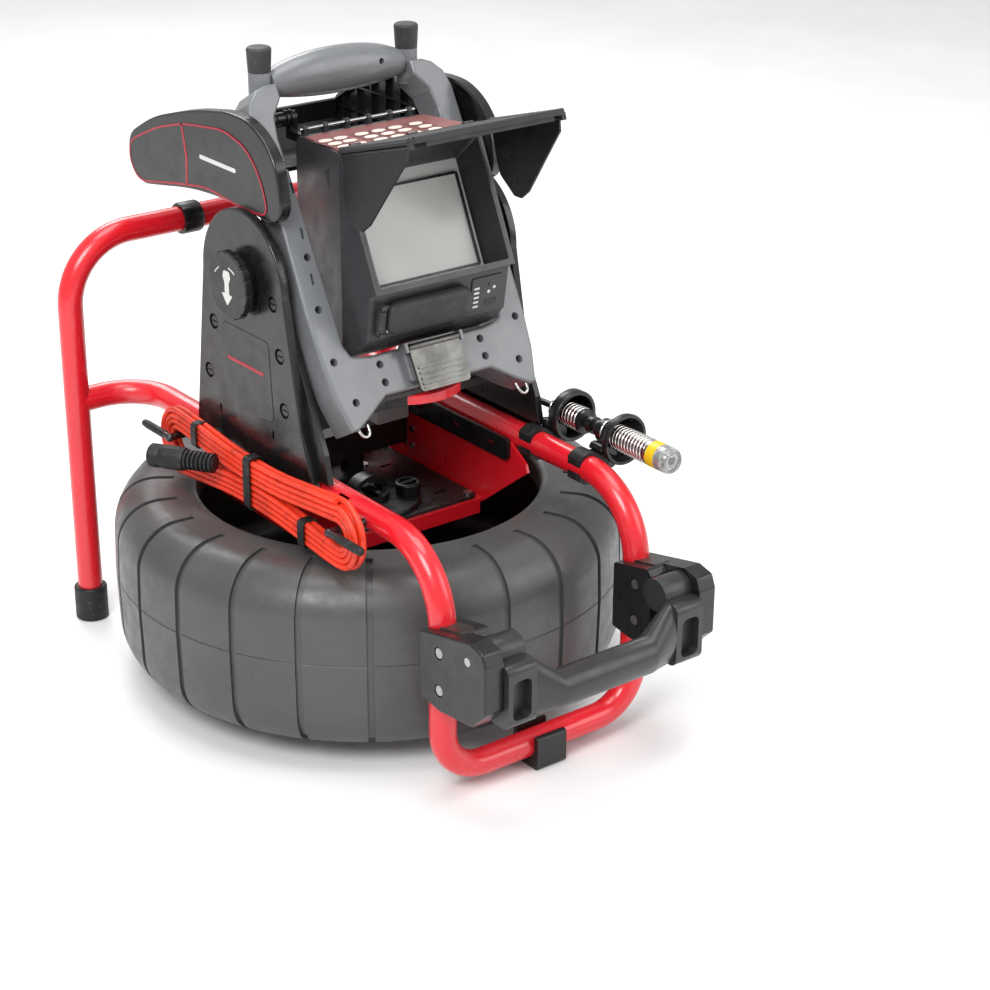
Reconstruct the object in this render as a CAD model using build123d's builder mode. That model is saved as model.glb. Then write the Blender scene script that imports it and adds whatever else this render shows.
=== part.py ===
from build123d import *
import os
from math import atan2, cos, radians, sin

# A drain inspection camera on a carry frame. Millimetres, +Z up, floor at z = 0.
# The drum turns about Z through the origin. The front, where the user stands, faces -Y.
os.makedirs("parts", exist_ok=True)

# ---- driving dimensions -------------------------------------------------------------
TUBE_R = 12.5
TUBE_WALL = 2.0
RAIL_X = 111.5
RAIL_Z = 239.5
FRONT_Y = -270.0
BOW_Z = 21.0
LEG_X = 188.0
LEG_Y = 238.5
LOOP_Z = 405.5
WELD_BEND = 50.0
RAIL_BEND = 70.0
BOW_BEND = 45.0
LOOP_BEND = 68.0

DRUM_R = 250.0
DRUM_WALL = 4.0
SEAM_Z = 113.5
DRUM_TOP = 193.0
DRUM_FLOOR = 18.0
MOUTH_R = 167.0
SHOULDER = 42.0
GROOVES = 24
GROOVE_W = 6.6
GROOVE_DEPTH = 2.7
GROOVE_START_R = 190.0
GROOVE_PHASE = 10.0
AXLE_R = 12.0
RUNNING_FIT = 0.06
GAP = 0.4

TRAY_X = RAIL_X - TUBE_R
TRAY_Z = 163.0
SHEET = 3.0
TRAY_FRONT = -58.0
TRAY_BACK = 118.0

PLATE_IN = 125.0
PLATE_OUT = 133.0
LINER_IN = 118.5
PIVOT_Y = 6.0
PIVOT_Z = 416.0
PIVOT_R = 8.0
PLATE_TOP_R = 68.0
LINER_TOP_R = 52.0
PLATE_FOOT = 224.0

LEAN = 29.2
FRAME_Y = -124.8
FRAME_Z = 313.0
FRAME_T = 32.0
SCREEN_LEAN = 25.2
BORDER_Y = -128.8
BORDER_Z = 428.3
BORDER_H = 129.0
CASE_FRONT_X = 77.5
CASE_BACK_X = 64.0
DECK_BACK_Y = 8.0
DECK_BACK_Z = 541.0
SCREEN_W = 124.0
SCREEN_H = 102.0
SCREEN_DEPTH = 27.0
SCREEN_UP = 57.0

SHELL_IN = 113.0
SHELL_OUT = 124.2
VISOR_RISE = 16.5
VISOR_LEN = 120.0
FLAP_FLARE = {"left": 11.0, "right": -1.0}

PARK_X = 148.0
PARK_Z = 262.0
CABLE_R = 3.35
HEAD_R = 12.8

HANK_X = -149.0
HANK_Z = 234.0
HANK_FRONT = -204.0
HANK_BACK = 134.0
HANK_H = 70.0
HANK_T = 13.0

# ---- shared planes and helpers --------------------------------------------------------
lean = radians(LEAN)
screen_lean = radians(SCREEN_LEAN)
frame_plane = Plane(origin=(0, FRAME_Y, FRAME_Z), x_dir=(1, 0, 0), z_dir=(0, -cos(lean), sin(lean)))
screen_plane = Plane(
    origin=(0, BORDER_Y, BORDER_Z), x_dir=(1, 0, 0), z_dir=(0, -cos(screen_lean), sin(screen_lean))
)
DECK_FRONT_Y = BORDER_Y + BORDER_H * sin(screen_lean)
DECK_FRONT_Z = BORDER_Z + BORDER_H * cos(screen_lean)
STAND = (Align.CENTER, Align.CENTER, Align.MIN)
SIDES = {"left": -1, "right": 1}


def save(part, label):
    """Label one sub-part and write it as its own STEP file."""
    part.label = label
    export_step(part, f"parts/{label}.step")


def side_plane(x):
    """A plane across X at x whose own x and y are the object's Y and Z."""
    return Plane(origin=(x, 0, 0), x_dir=(0, 1, 0), z_dir=(1, 0, 0))


def across(side, near, far):
    """The lower X and the thickness of a slab from near to far out on one side."""
    low = near if side > 0 else -far
    return low, far - near


def tube_along(points, radii, radius, wall=0.0):
    """A round tube, or a rod when wall is 0, along straight runs joined by tangent arcs."""
    with BuildPart() as tube:
        with BuildLine() as path:
            FilletPolyline(*points, radius=radii)
        with BuildSketch(Plane(origin=path.line @ 0, z_dir=path.line % 0)):
            Circle(radius)
            if wall:
                Circle(radius - wall, mode=Mode.SUBTRACT)
        sweep()
    return tube.part


def tangent_radii(points, share=0.45):
    """The arc radius at each corner that uses the given share of its shorter run."""
    radii = []
    for before, here, after in zip(points, points[1:], points[2:]):
        run_in = Vector(*here) - Vector(*before)
        run_out = Vector(*after) - Vector(*here)
        half_turn = radians(run_in.get_angle(run_out)) / 2
        radii.append(share * min(run_in.length, run_out.length) * cos(half_turn) / sin(half_turn))
    return radii


# ---- carry frame ------------------------------------------------------------------------
half = [
    (LEG_X, LEG_Y, RAIL_Z),
    (RAIL_X, LEG_Y, RAIL_Z),
    (RAIL_X, FRONT_Y, RAIL_Z),
    (RAIL_X, FRONT_Y, BOW_Z),
]
front_path = [(-x, y, z) for x, y, z in half] + half[::-1]
front_bends = [WELD_BEND, RAIL_BEND, BOW_BEND, BOW_BEND, RAIL_BEND, WELD_BEND]
with BuildPart() as front_frame:
    add(tube_along(front_path, front_bends, TUBE_R, TUBE_WALL))
    with Locations((-LEG_X, LEG_Y, RAIL_Z), (LEG_X, LEG_Y, RAIL_Z)):
        Cylinder(TUBE_R, 3 * TUBE_R, mode=Mode.SUBTRACT)
    with Locations(Location((-RAIL_X, -133, RAIL_Z), (0, 45, 0))):
        with Locations((-TUBE_R, 0, 0)):
            Box(6, 16, 5, mode=Mode.SUBTRACT)
save(front_frame.part, "front_frame_tube")

FOOT_SEAT = 5.0
loop_path = [
    (-LEG_X, LEG_Y, FOOT_SEAT),
    (-LEG_X, LEG_Y, LOOP_Z),
    (LEG_X, LEG_Y, LOOP_Z),
    (LEG_X, LEG_Y, FOOT_SEAT),
]
save(tube_along(loop_path, [LOOP_BEND, LOOP_BEND], TUBE_R, TUBE_WALL), "rear_loop_tube")

FOOT_R = 16.8
FOOT_H = 36.0
with BuildPart() as rear_feet:
    with Locations((-LEG_X, LEG_Y, 0), (LEG_X, LEG_Y, 0)):
        Cylinder(FOOT_R, FOOT_H, align=STAND)
    fillet(rear_feet.edges().filter_by(GeomType.CIRCLE), 2.5)
    with Locations((-LEG_X, LEG_Y, FOOT_SEAT), (LEG_X, LEG_Y, FOOT_SEAT)):
        Cylinder(TUBE_R, FOOT_H, align=STAND, mode=Mode.SUBTRACT)
save(rear_feet.part, "rear_feet")

PAD_W = 34.0
PAD_H = 33.0
PAD_SPREAD = 36.0
with BuildPart() as bow_pad:
    with BuildSketch(side_plane(-PAD_W / 2)):
        with Locations((FRONT_Y, PAD_H / 2)):
            RectangleRounded(PAD_SPREAD, PAD_H, 3)
        with Locations((FRONT_Y, BOW_Z)):
            Circle(TUBE_R, mode=Mode.SUBTRACT)
            Rectangle(2 * TUBE_R, PAD_H, align=(Align.CENTER, Align.MIN), mode=Mode.SUBTRACT)
    extrude(amount=PAD_W)
save(bow_pad.part, "front_foot_pad")

# ---- drum -----------------------------------------------------------------------------------
SEAM_CUT = 0.8


def drum_profile(rim_r, rim_z, inset):
    """Radius and height points of one drum half, seam to rim, moved in by inset."""
    toward_seam = 1 if rim_z > SEAM_Z else -1
    flat_z = rim_z - toward_seam * inset
    return [(DRUM_R - inset, SEAM_Z), (DRUM_R - 2.5 - inset, flat_z), (rim_r, flat_z)]


def groove_cutter(flat_z, inner_r):
    """Radial grooves that run out from inner_r over the shoulder and down to the seam."""
    with BuildPart() as cutter:
        with PolarLocations(0, GROOVES, start_angle=GROOVE_PHASE):
            with Locations((inner_r, 0, 0)):
                Box(2 * DRUM_R, GROOVE_W, 3 * DRUM_R, align=(Align.MIN, Align.CENTER, Align.CENTER))
        with BuildSketch(Plane.XZ) as band:
            with BuildLine():
                skin = FilletPolyline(*drum_profile(inner_r, flat_z, -5), radius=SHOULDER)
                bed = FilletPolyline(*drum_profile(inner_r, flat_z, GROOVE_DEPTH), radius=SHOULDER)
                Line(skin @ 0, bed @ 0)
                Line(skin @ 1, bed @ 1)
            make_face()
        revolve(axis=Axis.Z, mode=Mode.INTERSECT)
    return cutter.part


with BuildPart() as upper_shell:
    with BuildSketch(Plane.XZ):
        with BuildLine():
            skin = FilletPolyline(
                (DRUM_R - SEAM_CUT, SEAM_Z), (DRUM_R, SEAM_Z + SEAM_CUT), (DRUM_R - 2.5, DRUM_TOP),
                (MOUTH_R, DRUM_TOP), (MOUTH_R, DRUM_TOP - 24), radius=[0.3, SHOULDER, 7],
            )
            wall = FilletPolyline(
                (DRUM_R - DRUM_WALL, SEAM_Z), (DRUM_R - 2.5 - DRUM_WALL, DRUM_TOP - DRUM_WALL),
                (MOUTH_R + DRUM_WALL, DRUM_TOP - DRUM_WALL), (MOUTH_R + DRUM_WALL, DRUM_TOP - 24),
                radius=[SHOULDER - DRUM_WALL, 3],
            )
            Line(skin @ 0, wall @ 0)
            Line(skin @ 1, wall @ 1)
        make_face()
    revolve(axis=Axis.Z)
    add(groove_cutter(DRUM_TOP, GROOVE_START_R), mode=Mode.SUBTRACT)
save(upper_shell.part, "drum_upper_shell")

HUB_R = 34.0
with BuildPart() as lower_shell:
    with BuildSketch(Plane.XZ):
        with BuildLine():
            skin = FilletPolyline(
                (DRUM_R - SEAM_CUT, SEAM_Z), (DRUM_R, SEAM_Z - SEAM_CUT), (DRUM_R - 2.5, DRUM_FLOOR),
                (HUB_R, DRUM_FLOOR), radius=[0.3, SHOULDER],
            )
            wall = FilletPolyline(
                (DRUM_R - DRUM_WALL, SEAM_Z), (DRUM_R - 2.5 - DRUM_WALL, DRUM_FLOOR + DRUM_WALL),
                (HUB_R, DRUM_FLOOR + DRUM_WALL), radius=SHOULDER - DRUM_WALL,
            )
            Line(skin @ 0, wall @ 0)
            Line(skin @ 1, wall @ 1)
        make_face()
    revolve(axis=Axis.Z)
    add(groove_cutter(DRUM_FLOOR, GROOVE_START_R), mode=Mode.SUBTRACT)
save(lower_shell.part, "drum_lower_shell")

HUB_TOP = 138.0
with BuildPart() as drum_hub:
    Cylinder(HUB_R, DRUM_WALL, align=STAND)
    with Locations((0, 0, DRUM_WALL)):
        Cylinder(HUB_R + 14, 5, align=STAND)
        Cylinder(24, HUB_TOP - DRUM_FLOOR - DRUM_WALL, align=STAND)
    with Locations((0, 0, 0)):
        Cylinder(AXLE_R + RUNNING_FIT, HUB_TOP, align=STAND, mode=Mode.SUBTRACT)
    with PolarLocations(HUB_R + 7, 6):
        with Locations((0, 0, DRUM_WALL)):
            Cylinder(3, 6, align=STAND, mode=Mode.SUBTRACT)
drum_hub.part.position = (0, 0, DRUM_FLOOR)
save(drum_hub.part, "drum_hub")

COIL_IN = 176.0
COIL_OUT = 232.0
COIL_H = 58.0
with BuildPart() as coil:
    with BuildSketch(Plane.XZ):
        with Locations(((COIL_IN + COIL_OUT) / 2, DRUM_FLOOR + DRUM_WALL + COIL_H / 2)):
            RectangleRounded(COIL_OUT - COIL_IN, COIL_H, 27)
    revolve(axis=Axis.Z)
save(coil.part, "push_cable_coil")

with BuildPart() as axle:
    with Locations((0, 0, DRUM_FLOOR - 2)):
        Cylinder(AXLE_R, TRAY_Z - SHEET - DRUM_FLOOR + 2, align=STAND)
    with Locations((0, 0, HUB_TOP + GAP)):
        Cylinder(30, TRAY_Z - SHEET - HUB_TOP - GAP, align=STAND)
    Cylinder(20, DRUM_FLOOR - GAP, align=STAND)
save(axle.part, "drum_axle")

# ---- dock tray inside the drum mouth -----------------------------------------------------
wall_outline = [
    (TRAY_FRONT, TRAY_Z - SHEET),
    (-127, 213),
    (-124, 221),
    (-100, 236),
    (83, 236),
    (101, TRAY_Z - SHEET),
]
LIP_DROP = 12.0
BACK_WALL_H = 36.0
with BuildPart() as tray:
    with BuildSketch(Plane.XY.offset(TRAY_Z - SHEET)):
        with Locations((0, (TRAY_FRONT + TRAY_BACK) / 2)):
            RectangleRounded(2 * TRAY_X, TRAY_BACK - TRAY_FRONT, 6)
    extrude(amount=SHEET)
    for side in SIDES.values():
        low, thick = across(side, TRAY_X - SHEET, TRAY_X)
        with BuildSketch(side_plane(low)):
            Polygon(*wall_outline, align=None)
        extrude(amount=thick)
    with Locations((0, TRAY_FRONT + SHEET / 2, TRAY_Z - SHEET)):
        Box(2 * TRAY_X - 14, SHEET, LIP_DROP, align=(Align.CENTER, Align.CENTER, Align.MAX))
    with Locations((0, TRAY_BACK - SHEET / 2, TRAY_Z - SHEET)):
        Box(2 * TRAY_X - 14, SHEET, BACK_WALL_H, align=STAND)
save(tray.part, "dock_tray")

BASE_X = 93.0
BASE_FRONT = TRAY_FRONT + 4
BASE_BACK = 108.0
BASE_T = 3.0
screw_spots = [(-86, -46), (86, -46), (-86, 100), (86, 100), (30, 82), (44, 74), (-30, 82), (-44, 74)]
with BuildPart() as base_plate:
    with BuildSketch(Plane.XY.offset(TRAY_Z)):
        with Locations((0, (BASE_FRONT + BASE_BACK) / 2)):
            RectangleRounded(2 * BASE_X, BASE_BACK - BASE_FRONT, 7)
        with Locations((20, 92), (-20, 92), (62, 60), (-62, 60), (66, -26)):
            SlotOverall(15, 3.5, mode=Mode.SUBTRACT)
        with Locations(*screw_spots):
            Circle(2.2, mode=Mode.SUBTRACT)
    extrude(amount=BASE_T)
    with Locations((0, 0, TRAY_Z + BASE_T)):
        Cylinder(50, 4, align=STAND)
    fillet(base_plate.faces().sort_by(Axis.Z)[-1].edges(), 1.5)
save(base_plate.part, "tray_base_plate")

BOSS_TOP = TRAY_Z + BASE_T + 4
with BuildPart() as tray_screws:
    with Locations(*[(x, y, TRAY_Z + BASE_T) for x, y in screw_spots]):
        Cylinder(4.5, 2.2, align=STAND)
    with Locations(*[(x, y, TRAY_Z) for x, y in screw_spots]):
        Cylinder(2.2, BASE_T, align=STAND)
    wall_spots = [(s * (TRAY_X - SHEET), y, z) for s in (-1, 1) for y in (60, 72) for z in (180, 198)]
    for x, y, z in wall_spots:
        with Locations(Location((x, y, z), (0, -90 if x > 0 else 90, 0))):
            Cylinder(3.2, 2.0, align=STAND)
save(tray_screws.part, "tray_screws")

STRIP_T = 4.0
STRIP_FOOT = 217.5
STRIP_TOP = 240.0
with BuildPart() as slot_strips:
    for side in SIDES.values():
        low, thick = across(side, TRAY_X - SHEET - STRIP_T, TRAY_X - SHEET)
        with BuildSketch(side_plane(low)):
            with Locations((-12, (STRIP_FOOT + STRIP_TOP) / 2)):
                RectangleRounded(178, STRIP_TOP - STRIP_FOOT, 5)
            with Locations((-72, 229), (-16, 229), (44, 229)):
                SlotOverall(16, 3.6, mode=Mode.SUBTRACT)
        extrude(amount=thick)
save(slot_strips.part, "slot_strips")

CROSS_Y = 74.0
with BuildPart() as crossbar:
    with Locations((0, CROSS_Y, 184)):
        Box(2 * (TRAY_X - SHEET - STRIP_T) - 1, 20, 28, align=STAND)
    with Locations((-30, CROSS_Y, TRAY_Z + BASE_T), (30, CROSS_Y, TRAY_Z + BASE_T)):
        Box(20, 12, 184 - TRAY_Z - BASE_T, align=STAND)
    for hole_x in (30, 44, -30, -44):
        with Locations((hole_x, 82 if abs(hole_x) == 30 else 74, TRAY_Z)):
            Cylinder(5, 12, align=STAND, mode=Mode.SUBTRACT)
save(crossbar.part, "dock_crossbar")

with BuildPart() as rest_blocks:
    with Locations((-72.5, CROSS_Y, 212), (72.5, CROSS_Y, 212)):
        Box(38, 26, 27, align=STAND)
    fillet(rest_blocks.edges().filter_by(Axis.Y).group_by(Axis.Z)[-1], 6)
save(rest_blocks.part, "rest_blocks")

# drum lock in the middle of the tray: an arched finger lever with a pointer, and a knob
LEVER_Z = BOSS_TOP + GAP
with BuildPart() as lock_lever:
    with Locations((0, 0, LEVER_Z)):
        Cylinder(19, 5, align=STAND)
    with BuildSketch(Plane.XZ.offset(-13)):
        with Locations((0, LEVER_Z + 5)):
            Ellipse(20, 16)
            Ellipse(14, 11, mode=Mode.SUBTRACT)
            Rectangle(60, 60, align=(Align.CENTER, Align.MAX), mode=Mode.SUBTRACT)
    extrude(amount=15)
    with BuildSketch(Plane.XY.offset(LEVER_Z + 5)):
        Polygon((-5, 11), (5, 11), (2, -18), (-2, -18), align=None)
    extrude(amount=4)
save(lock_lever.part, "drum_lock_lever")
KNOB_X = 36.0
KNOB_Y = -14.0
with BuildPart() as hub_knob:
    with Locations((KNOB_X, KNOB_Y, BOSS_TOP + GAP)):
        Cylinder(13, 11, align=STAND)
    fillet(hub_knob.faces().sort_by(Axis.Z)[-1].edges(), 2)
    with Locations((KNOB_X, KNOB_Y, BOSS_TOP + GAP + 8)):
        Cylinder(9, 5, align=STAND, mode=Mode.SUBTRACT)
        Box(18, 3.2, 3, align=STAND)
save(hub_knob.part, "hub_knob")

# ---- side plates that carry the dock pivot --------------------------------------------------
plate_outline = [
    (PIVOT_Y - PLATE_TOP_R, PIVOT_Z), (-85, 300), (-104, 244), (-104, PLATE_FOOT),
    (97, PLATE_FOOT), (97, 250), (PIVOT_Y + PLATE_TOP_R, PIVOT_Z),
]
liner_outline = [
    (PIVOT_Y - LINER_TOP_R, PIVOT_Z), (-88, 326), (-110, 281), (-116, 254), (84, 254),
    (PIVOT_Y + LINER_TOP_R, PIVOT_Z),
]
bolt_spots = [(-45, 409), (58, 364), (70, 312), (-54, 362), (-59, 311)]
keyhole_spots = [(52, 279), (-39, 281)]
for name, side in SIDES.items():
    low, thick = across(side, PLATE_IN, PLATE_OUT)
    with BuildPart() as plate:
        with BuildSketch(side_plane(low)):
            Polygon(*plate_outline, align=None)
            with Locations((PIVOT_Y, PIVOT_Z)):
                Circle(PLATE_TOP_R)
            with Locations((PIVOT_Y, PIVOT_Z)):
                Circle(PIVOT_R, mode=Mode.SUBTRACT)
            with Locations(*keyhole_spots):
                SlotOverall(9, 3.5, rotation=90, mode=Mode.SUBTRACT)
        extrude(amount=thick)
        outer_face = plate.faces().sort_by(Axis.X)[-1 if side > 0 else 0]
        chamfer(outer_face.outer_wire().edges(), 1.2)
        face_x = side * PLATE_OUT
        for y, z in bolt_spots:
            with Locations(Location((face_x, y, z), (0, -90 * side, 0))):
                Cylinder(7.5, 4, align=STAND, mode=Mode.SUBTRACT)
    save(plate.part, f"side_plate_{name}")

with BuildPart() as liners:
    for side in SIDES.values():
        low, thick = across(side, LINER_IN, PLATE_IN)
        with BuildSketch(side_plane(low)):
            Polygon(*liner_outline, align=None)
            with Locations((PIVOT_Y, PIVOT_Z)):
                Circle(LINER_TOP_R)
            with Locations((PIVOT_Y, PIVOT_Z)):
                Circle(PIVOT_R, mode=Mode.SUBTRACT)
        extrude(amount=thick)
save(liners.part, "plate_liners")

with BuildPart() as plate_bolts:
    for side in SIDES.values():
        for y, z in bolt_spots:
            with Locations(Location((side * (PLATE_OUT - 4), y, z), (0, 90 * side, 0))):
                Cylinder(5.2, 3, align=STAND)
                with Locations((0, 0, 1)):
                    Box(1.4, 8, 2.2, align=STAND, mode=Mode.SUBTRACT)
save(plate_bolts.part, "plate_bolts")

PIN_IN = 101.0
with BuildPart() as pivot_pins:
    for side in SIDES.values():
        low, thick = across(side, PIN_IN, PLATE_OUT)
        with BuildSketch(side_plane(low)):
            with Locations((PIVOT_Y, PIVOT_Z)):
                Circle(PIVOT_R)
        extrude(amount=thick)
save(pivot_pins.part, "pivot_pins")

LOCK_KNOB_R = 32.0
LOCK_KNOB_T = 15.0
LOCK_NECK_R = 27.0
with BuildPart() as lock_knob:
    with BuildSketch(side_plane(-PLATE_OUT - GAP)):
        with Locations((PIVOT_Y, PIVOT_Z)):
            Circle(LOCK_NECK_R)
    with BuildSketch(side_plane(-PLATE_OUT - GAP - LOCK_KNOB_T / 2)):
        with Locations((PIVOT_Y, PIVOT_Z)):
            Circle(LOCK_KNOB_R - 1)
    loft()
    with BuildSketch(side_plane(-PLATE_OUT - GAP - LOCK_KNOB_T / 2)):
        with Locations((PIVOT_Y, PIVOT_Z)):
            Circle(LOCK_KNOB_R)
            with PolarLocations(LOCK_KNOB_R + 2.6, 16):
                Circle(3.6, mode=Mode.SUBTRACT)
    extrude(amount=-LOCK_KNOB_T / 2)
    fillet(lock_knob.faces().sort_by(Axis.X)[0].edges(), 1.2)
save(lock_knob.part, "tilt_lock_knob")

# ---- tilting dock carriage ---------------------------------------------------------------------
ARM_IN = 104.0
ARM_OUT = LINER_IN - 0.6
BACK_SHIFT = (FRAME_T + GAP) / cos(lean)


def frame_back_y(z):
    """The Y of the leaning monitor frame's rear face at height z."""
    return FRAME_Y + (z - FRAME_Z) * sin(lean) / cos(lean) + BACK_SHIFT


CARRIAGE_FOOT = 300.0
SHELF_T = 8.0
arm_outline = [
    (frame_back_y(446), 446),
    (frame_back_y(CARRIAGE_FOOT), CARRIAGE_FOOT),
    (frame_back_y(CARRIAGE_FOOT) + 34, CARRIAGE_FOOT),
    (PIVOT_Y + 30, PIVOT_Z - 8),
    (PIVOT_Y + 30, PIVOT_Z + 10),
    (PIVOT_Y + 12, 446),
]
LIP_Y = -101.0
with BuildPart() as carriage:
    for side in SIDES.values():
        low, thick = across(side, ARM_IN, ARM_OUT)
        with BuildSketch(side_plane(low)):
            Polygon(*arm_outline, align=None)
            with Locations((PIVOT_Y, PIVOT_Z)):
                Circle(PIVOT_R + RUNNING_FIT, mode=Mode.SUBTRACT)
        extrude(amount=thick)
    shelf_back = frame_back_y(CARRIAGE_FOOT) + 34
    shelf_front = LIP_Y + 10
    with Locations((0, shelf_back, CARRIAGE_FOOT)):
        Box(2 * ARM_OUT, shelf_back - frame_back_y(CARRIAGE_FOOT + SHELF_T), SHELF_T,
            align=(Align.CENTER, Align.MAX, Align.MIN))
    with Locations((0, shelf_back, CARRIAGE_FOOT)):
        Box(84, shelf_back - shelf_front, SHELF_T, align=(Align.CENTER, Align.MAX, Align.MIN))
save(carriage.part, "dock_carriage")

with BuildPart() as lip:
    with BuildSketch(Plane.XY.offset(CARRIAGE_FOOT + SHELF_T)):
        with Locations((0, LIP_Y + 40)):
            Circle(56)
            Circle(48, mode=Mode.SUBTRACT)
        with Locations((0, LIP_Y - 20)):
            Rectangle(84, 26, mode=Mode.INTERSECT)
    extrude(amount=9)
    fillet(lip.faces().sort_by(Axis.Z)[-1].edges(), 1.5)
save(lip.part, "carriage_lip")

# ---- monitor frame: rails, arms, hand grip and lower cross panel, one moulding --------------------
outer_half = [
    (0, 16), (60, 16), (84, 0), (98, -8), (105, -8), (112.5, 26), (115, 57), (116, 106), (114, 165),
    (SHELL_IN, 185), (SHELL_IN, 284), (108, 300), (98, 310), (88, 314), (74, 314), (0, 314),
]
inner_half = [(0, 55), (64, 55), (83, 58), (88, 70), (88, 110), (88, 240), (89, 264), (86, 284),
              (74, 300), (74, 340), (0, 340)]
hole_spots = [(93, 17), (103, 57), (102, 106), (97, 154), (90, 239), (57, 28), (57, 45)]
slot_spots = [(99, 134), (95, 176), (91, 218)]
POST_X = 81.5
POST_Y = 45.0
POST_FOOT = 562.0
POST_TOP = 595.0
POST_R = 10.5
BAR_REACH = 73.0
bar_sections = [
    (-BAR_REACH, 10.5, 11.5, 582.5), (-56, 14.5, 16.5, 584.5), (0, 17, 22, 586), (56, 14.5, 16.5, 584.5),
    (BAR_REACH, 10.5, 11.5, 582.5),
]


def mirrored(points):
    """A closed outline from its right half, listed bottom to top."""
    return points + [(-x, y) for x, y in points[::-1] if x]


with BuildPart() as monitor_frame:
    with BuildSketch(frame_plane):
        Polygon(*mirrored(outer_half), align=None)
    extrude(amount=-FRAME_T)
    with BuildSketch(frame_plane) as hand_gap:
        Polygon(*mirrored(inner_half), align=None)
        fillet(hand_gap.vertices(), 5)
    extrude(amount=-FRAME_T, mode=Mode.SUBTRACT)
    front_face = monitor_frame.faces().sort_by(Axis(frame_plane.origin, frame_plane.z_dir))[-1]
    fillet(front_face.edges(), 3)
    with BuildSketch(frame_plane):
        for side in SIDES.values():
            with Locations(*[(side * x, up) for x, up in hole_spots]):
                Circle(3.8)
            with Locations(*[(side * x, up) for x, up in slot_spots]):
                SlotOverall(11, 2.6, rotation=90 + side * 4)
    extrude(amount=-12, mode=Mode.SUBTRACT)
    with Locations((-POST_X, POST_Y, POST_FOOT), (POST_X, POST_Y, POST_FOOT)):
        Cylinder(POST_R, POST_TOP - POST_FOOT, align=STAND)
    for x, deep, tall, height in bar_sections:
        with BuildSketch(side_plane(x)):
            with Locations((POST_Y - 1, height)):
                Ellipse(deep, tall)
    loft()
    with Locations(Location((42, POST_Y - 30, 590), (-90, 0, 0))):
        Cylinder(3, 20, align=STAND, mode=Mode.SUBTRACT)
save(monitor_frame.part, "monitor_frame")

CAP_H = 23.0
with BuildPart() as post_caps:
    with Locations((-POST_X, POST_Y, POST_TOP), (POST_X, POST_Y, POST_TOP)):
        Cone(POST_R, POST_R + 1.2, CAP_H, align=STAND)
    fillet(post_caps.edges().filter_by(GeomType.CIRCLE).group_by(Axis.Z)[-1], 3)
save(post_caps.part, "post_caps")

# ---- display case -----------------------------------------------------------------------------
CHIN_TOP = BORDER_Z - 4
CHIN_FOOT = 381.0
CASE_BACK = 15.0
case_outline = [
    (BORDER_Y, BORDER_Z), (DECK_FRONT_Y, DECK_FRONT_Z), (DECK_BACK_Y, DECK_BACK_Z),
    (CASE_BACK, DECK_BACK_Z - 8), (CASE_BACK, 448), (-44, 366), (-71, 351), (-92, 362.5),
    (-112, CHIN_FOOT), (-119, CHIN_TOP),
]
CASE_WALL = 3.0


def case_body(inset):
    """The display case as one block, its sides narrowing to the rear, moved in by inset."""
    with BuildPart() as block:
        with BuildSketch(side_plane(-CASE_FRONT_X)) as profile:
            Polygon(*case_outline, align=None)
            if inset:
                offset(amount=-inset, mode=Mode.REPLACE)
            else:
                fillet(profile.vertices().sort_by(Axis.Y)[-2:], 6)
        extrude(amount=2 * CASE_FRONT_X)
        with BuildSketch(Plane.XY.offset(CHIN_FOOT - 60)):
            Polygon(
                (-CASE_FRONT_X + inset, BORDER_Y), (CASE_FRONT_X - inset, BORDER_Y),
                (CASE_FRONT_X - inset, DECK_FRONT_Y), (CASE_BACK_X - inset, CASE_BACK),
                (-CASE_BACK_X + inset, CASE_BACK), (-CASE_FRONT_X + inset, DECK_FRONT_Y), align=None,
            )
        extrude(amount=300, mode=Mode.INTERSECT)
    return block.part


HOOD_Y = DECK_FRONT_Y - 3.6
HOOD_Z = DECK_FRONT_Z + 3.6
lug_spots = [-62, 0, 62]
CHIN_TILT = atan2(7, 43)
chin_plane = Plane(
    origin=(0, -112, CHIN_FOOT), x_dir=(1, 0, 0), z_dir=(0, -cos(CHIN_TILT), -sin(CHIN_TILT))
)
COVER_LEFT = -65.0
COVER_RIGHT = 33.0
COVER_T = 9.0
COVER_PIVOT = 5.2
WINDOW_X = 74.5
WINDOW_LOW = 3.0
WINDOW_TOP = 124.0
MOUTH_DEPTH = 34.0
with BuildPart() as display_case:
    add(case_body(0))
    add(case_body(CASE_WALL), mode=Mode.SUBTRACT)
    with BuildSketch(screen_plane):
        with Locations((0, (WINDOW_LOW + WINDOW_TOP) / 2)):
            RectangleRounded(2 * WINDOW_X, WINDOW_TOP - WINDOW_LOW, 4)
    extrude(amount=-MOUTH_DEPTH, mode=Mode.SUBTRACT)
    with BuildSketch(chin_plane.offset(-1)):
        with Locations((COVER_LEFT - 1, 6), (COVER_LEFT - 1, 34)):
            Rectangle(5.6, 4)
    extrude(amount=COVER_PIVOT + 3.3)
    with Locations(chin_plane * Location((COVER_LEFT - 1, 4, COVER_PIVOT), (-90, 0, 0))):
        Cylinder(1.5 - RUNNING_FIT, 32, align=STAND)
    for x in lug_spots:
        with BuildSketch(side_plane(x - 5)):
            with Locations((HOOD_Y, HOOD_Z)):
                Circle(4.2)
            Polygon((HOOD_Y - 4, HOOD_Z), (HOOD_Y + 3, HOOD_Z + 3), (DECK_FRONT_Y + 2.6, DECK_FRONT_Z - 1),
                    (DECK_FRONT_Y + 1, DECK_FRONT_Z - 2), align=None)
            with Locations((HOOD_Y, HOOD_Z)):
                Circle(1.5 + RUNNING_FIT, mode=Mode.SUBTRACT)
        extrude(amount=10)
save(display_case.part, "display_case")

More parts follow.
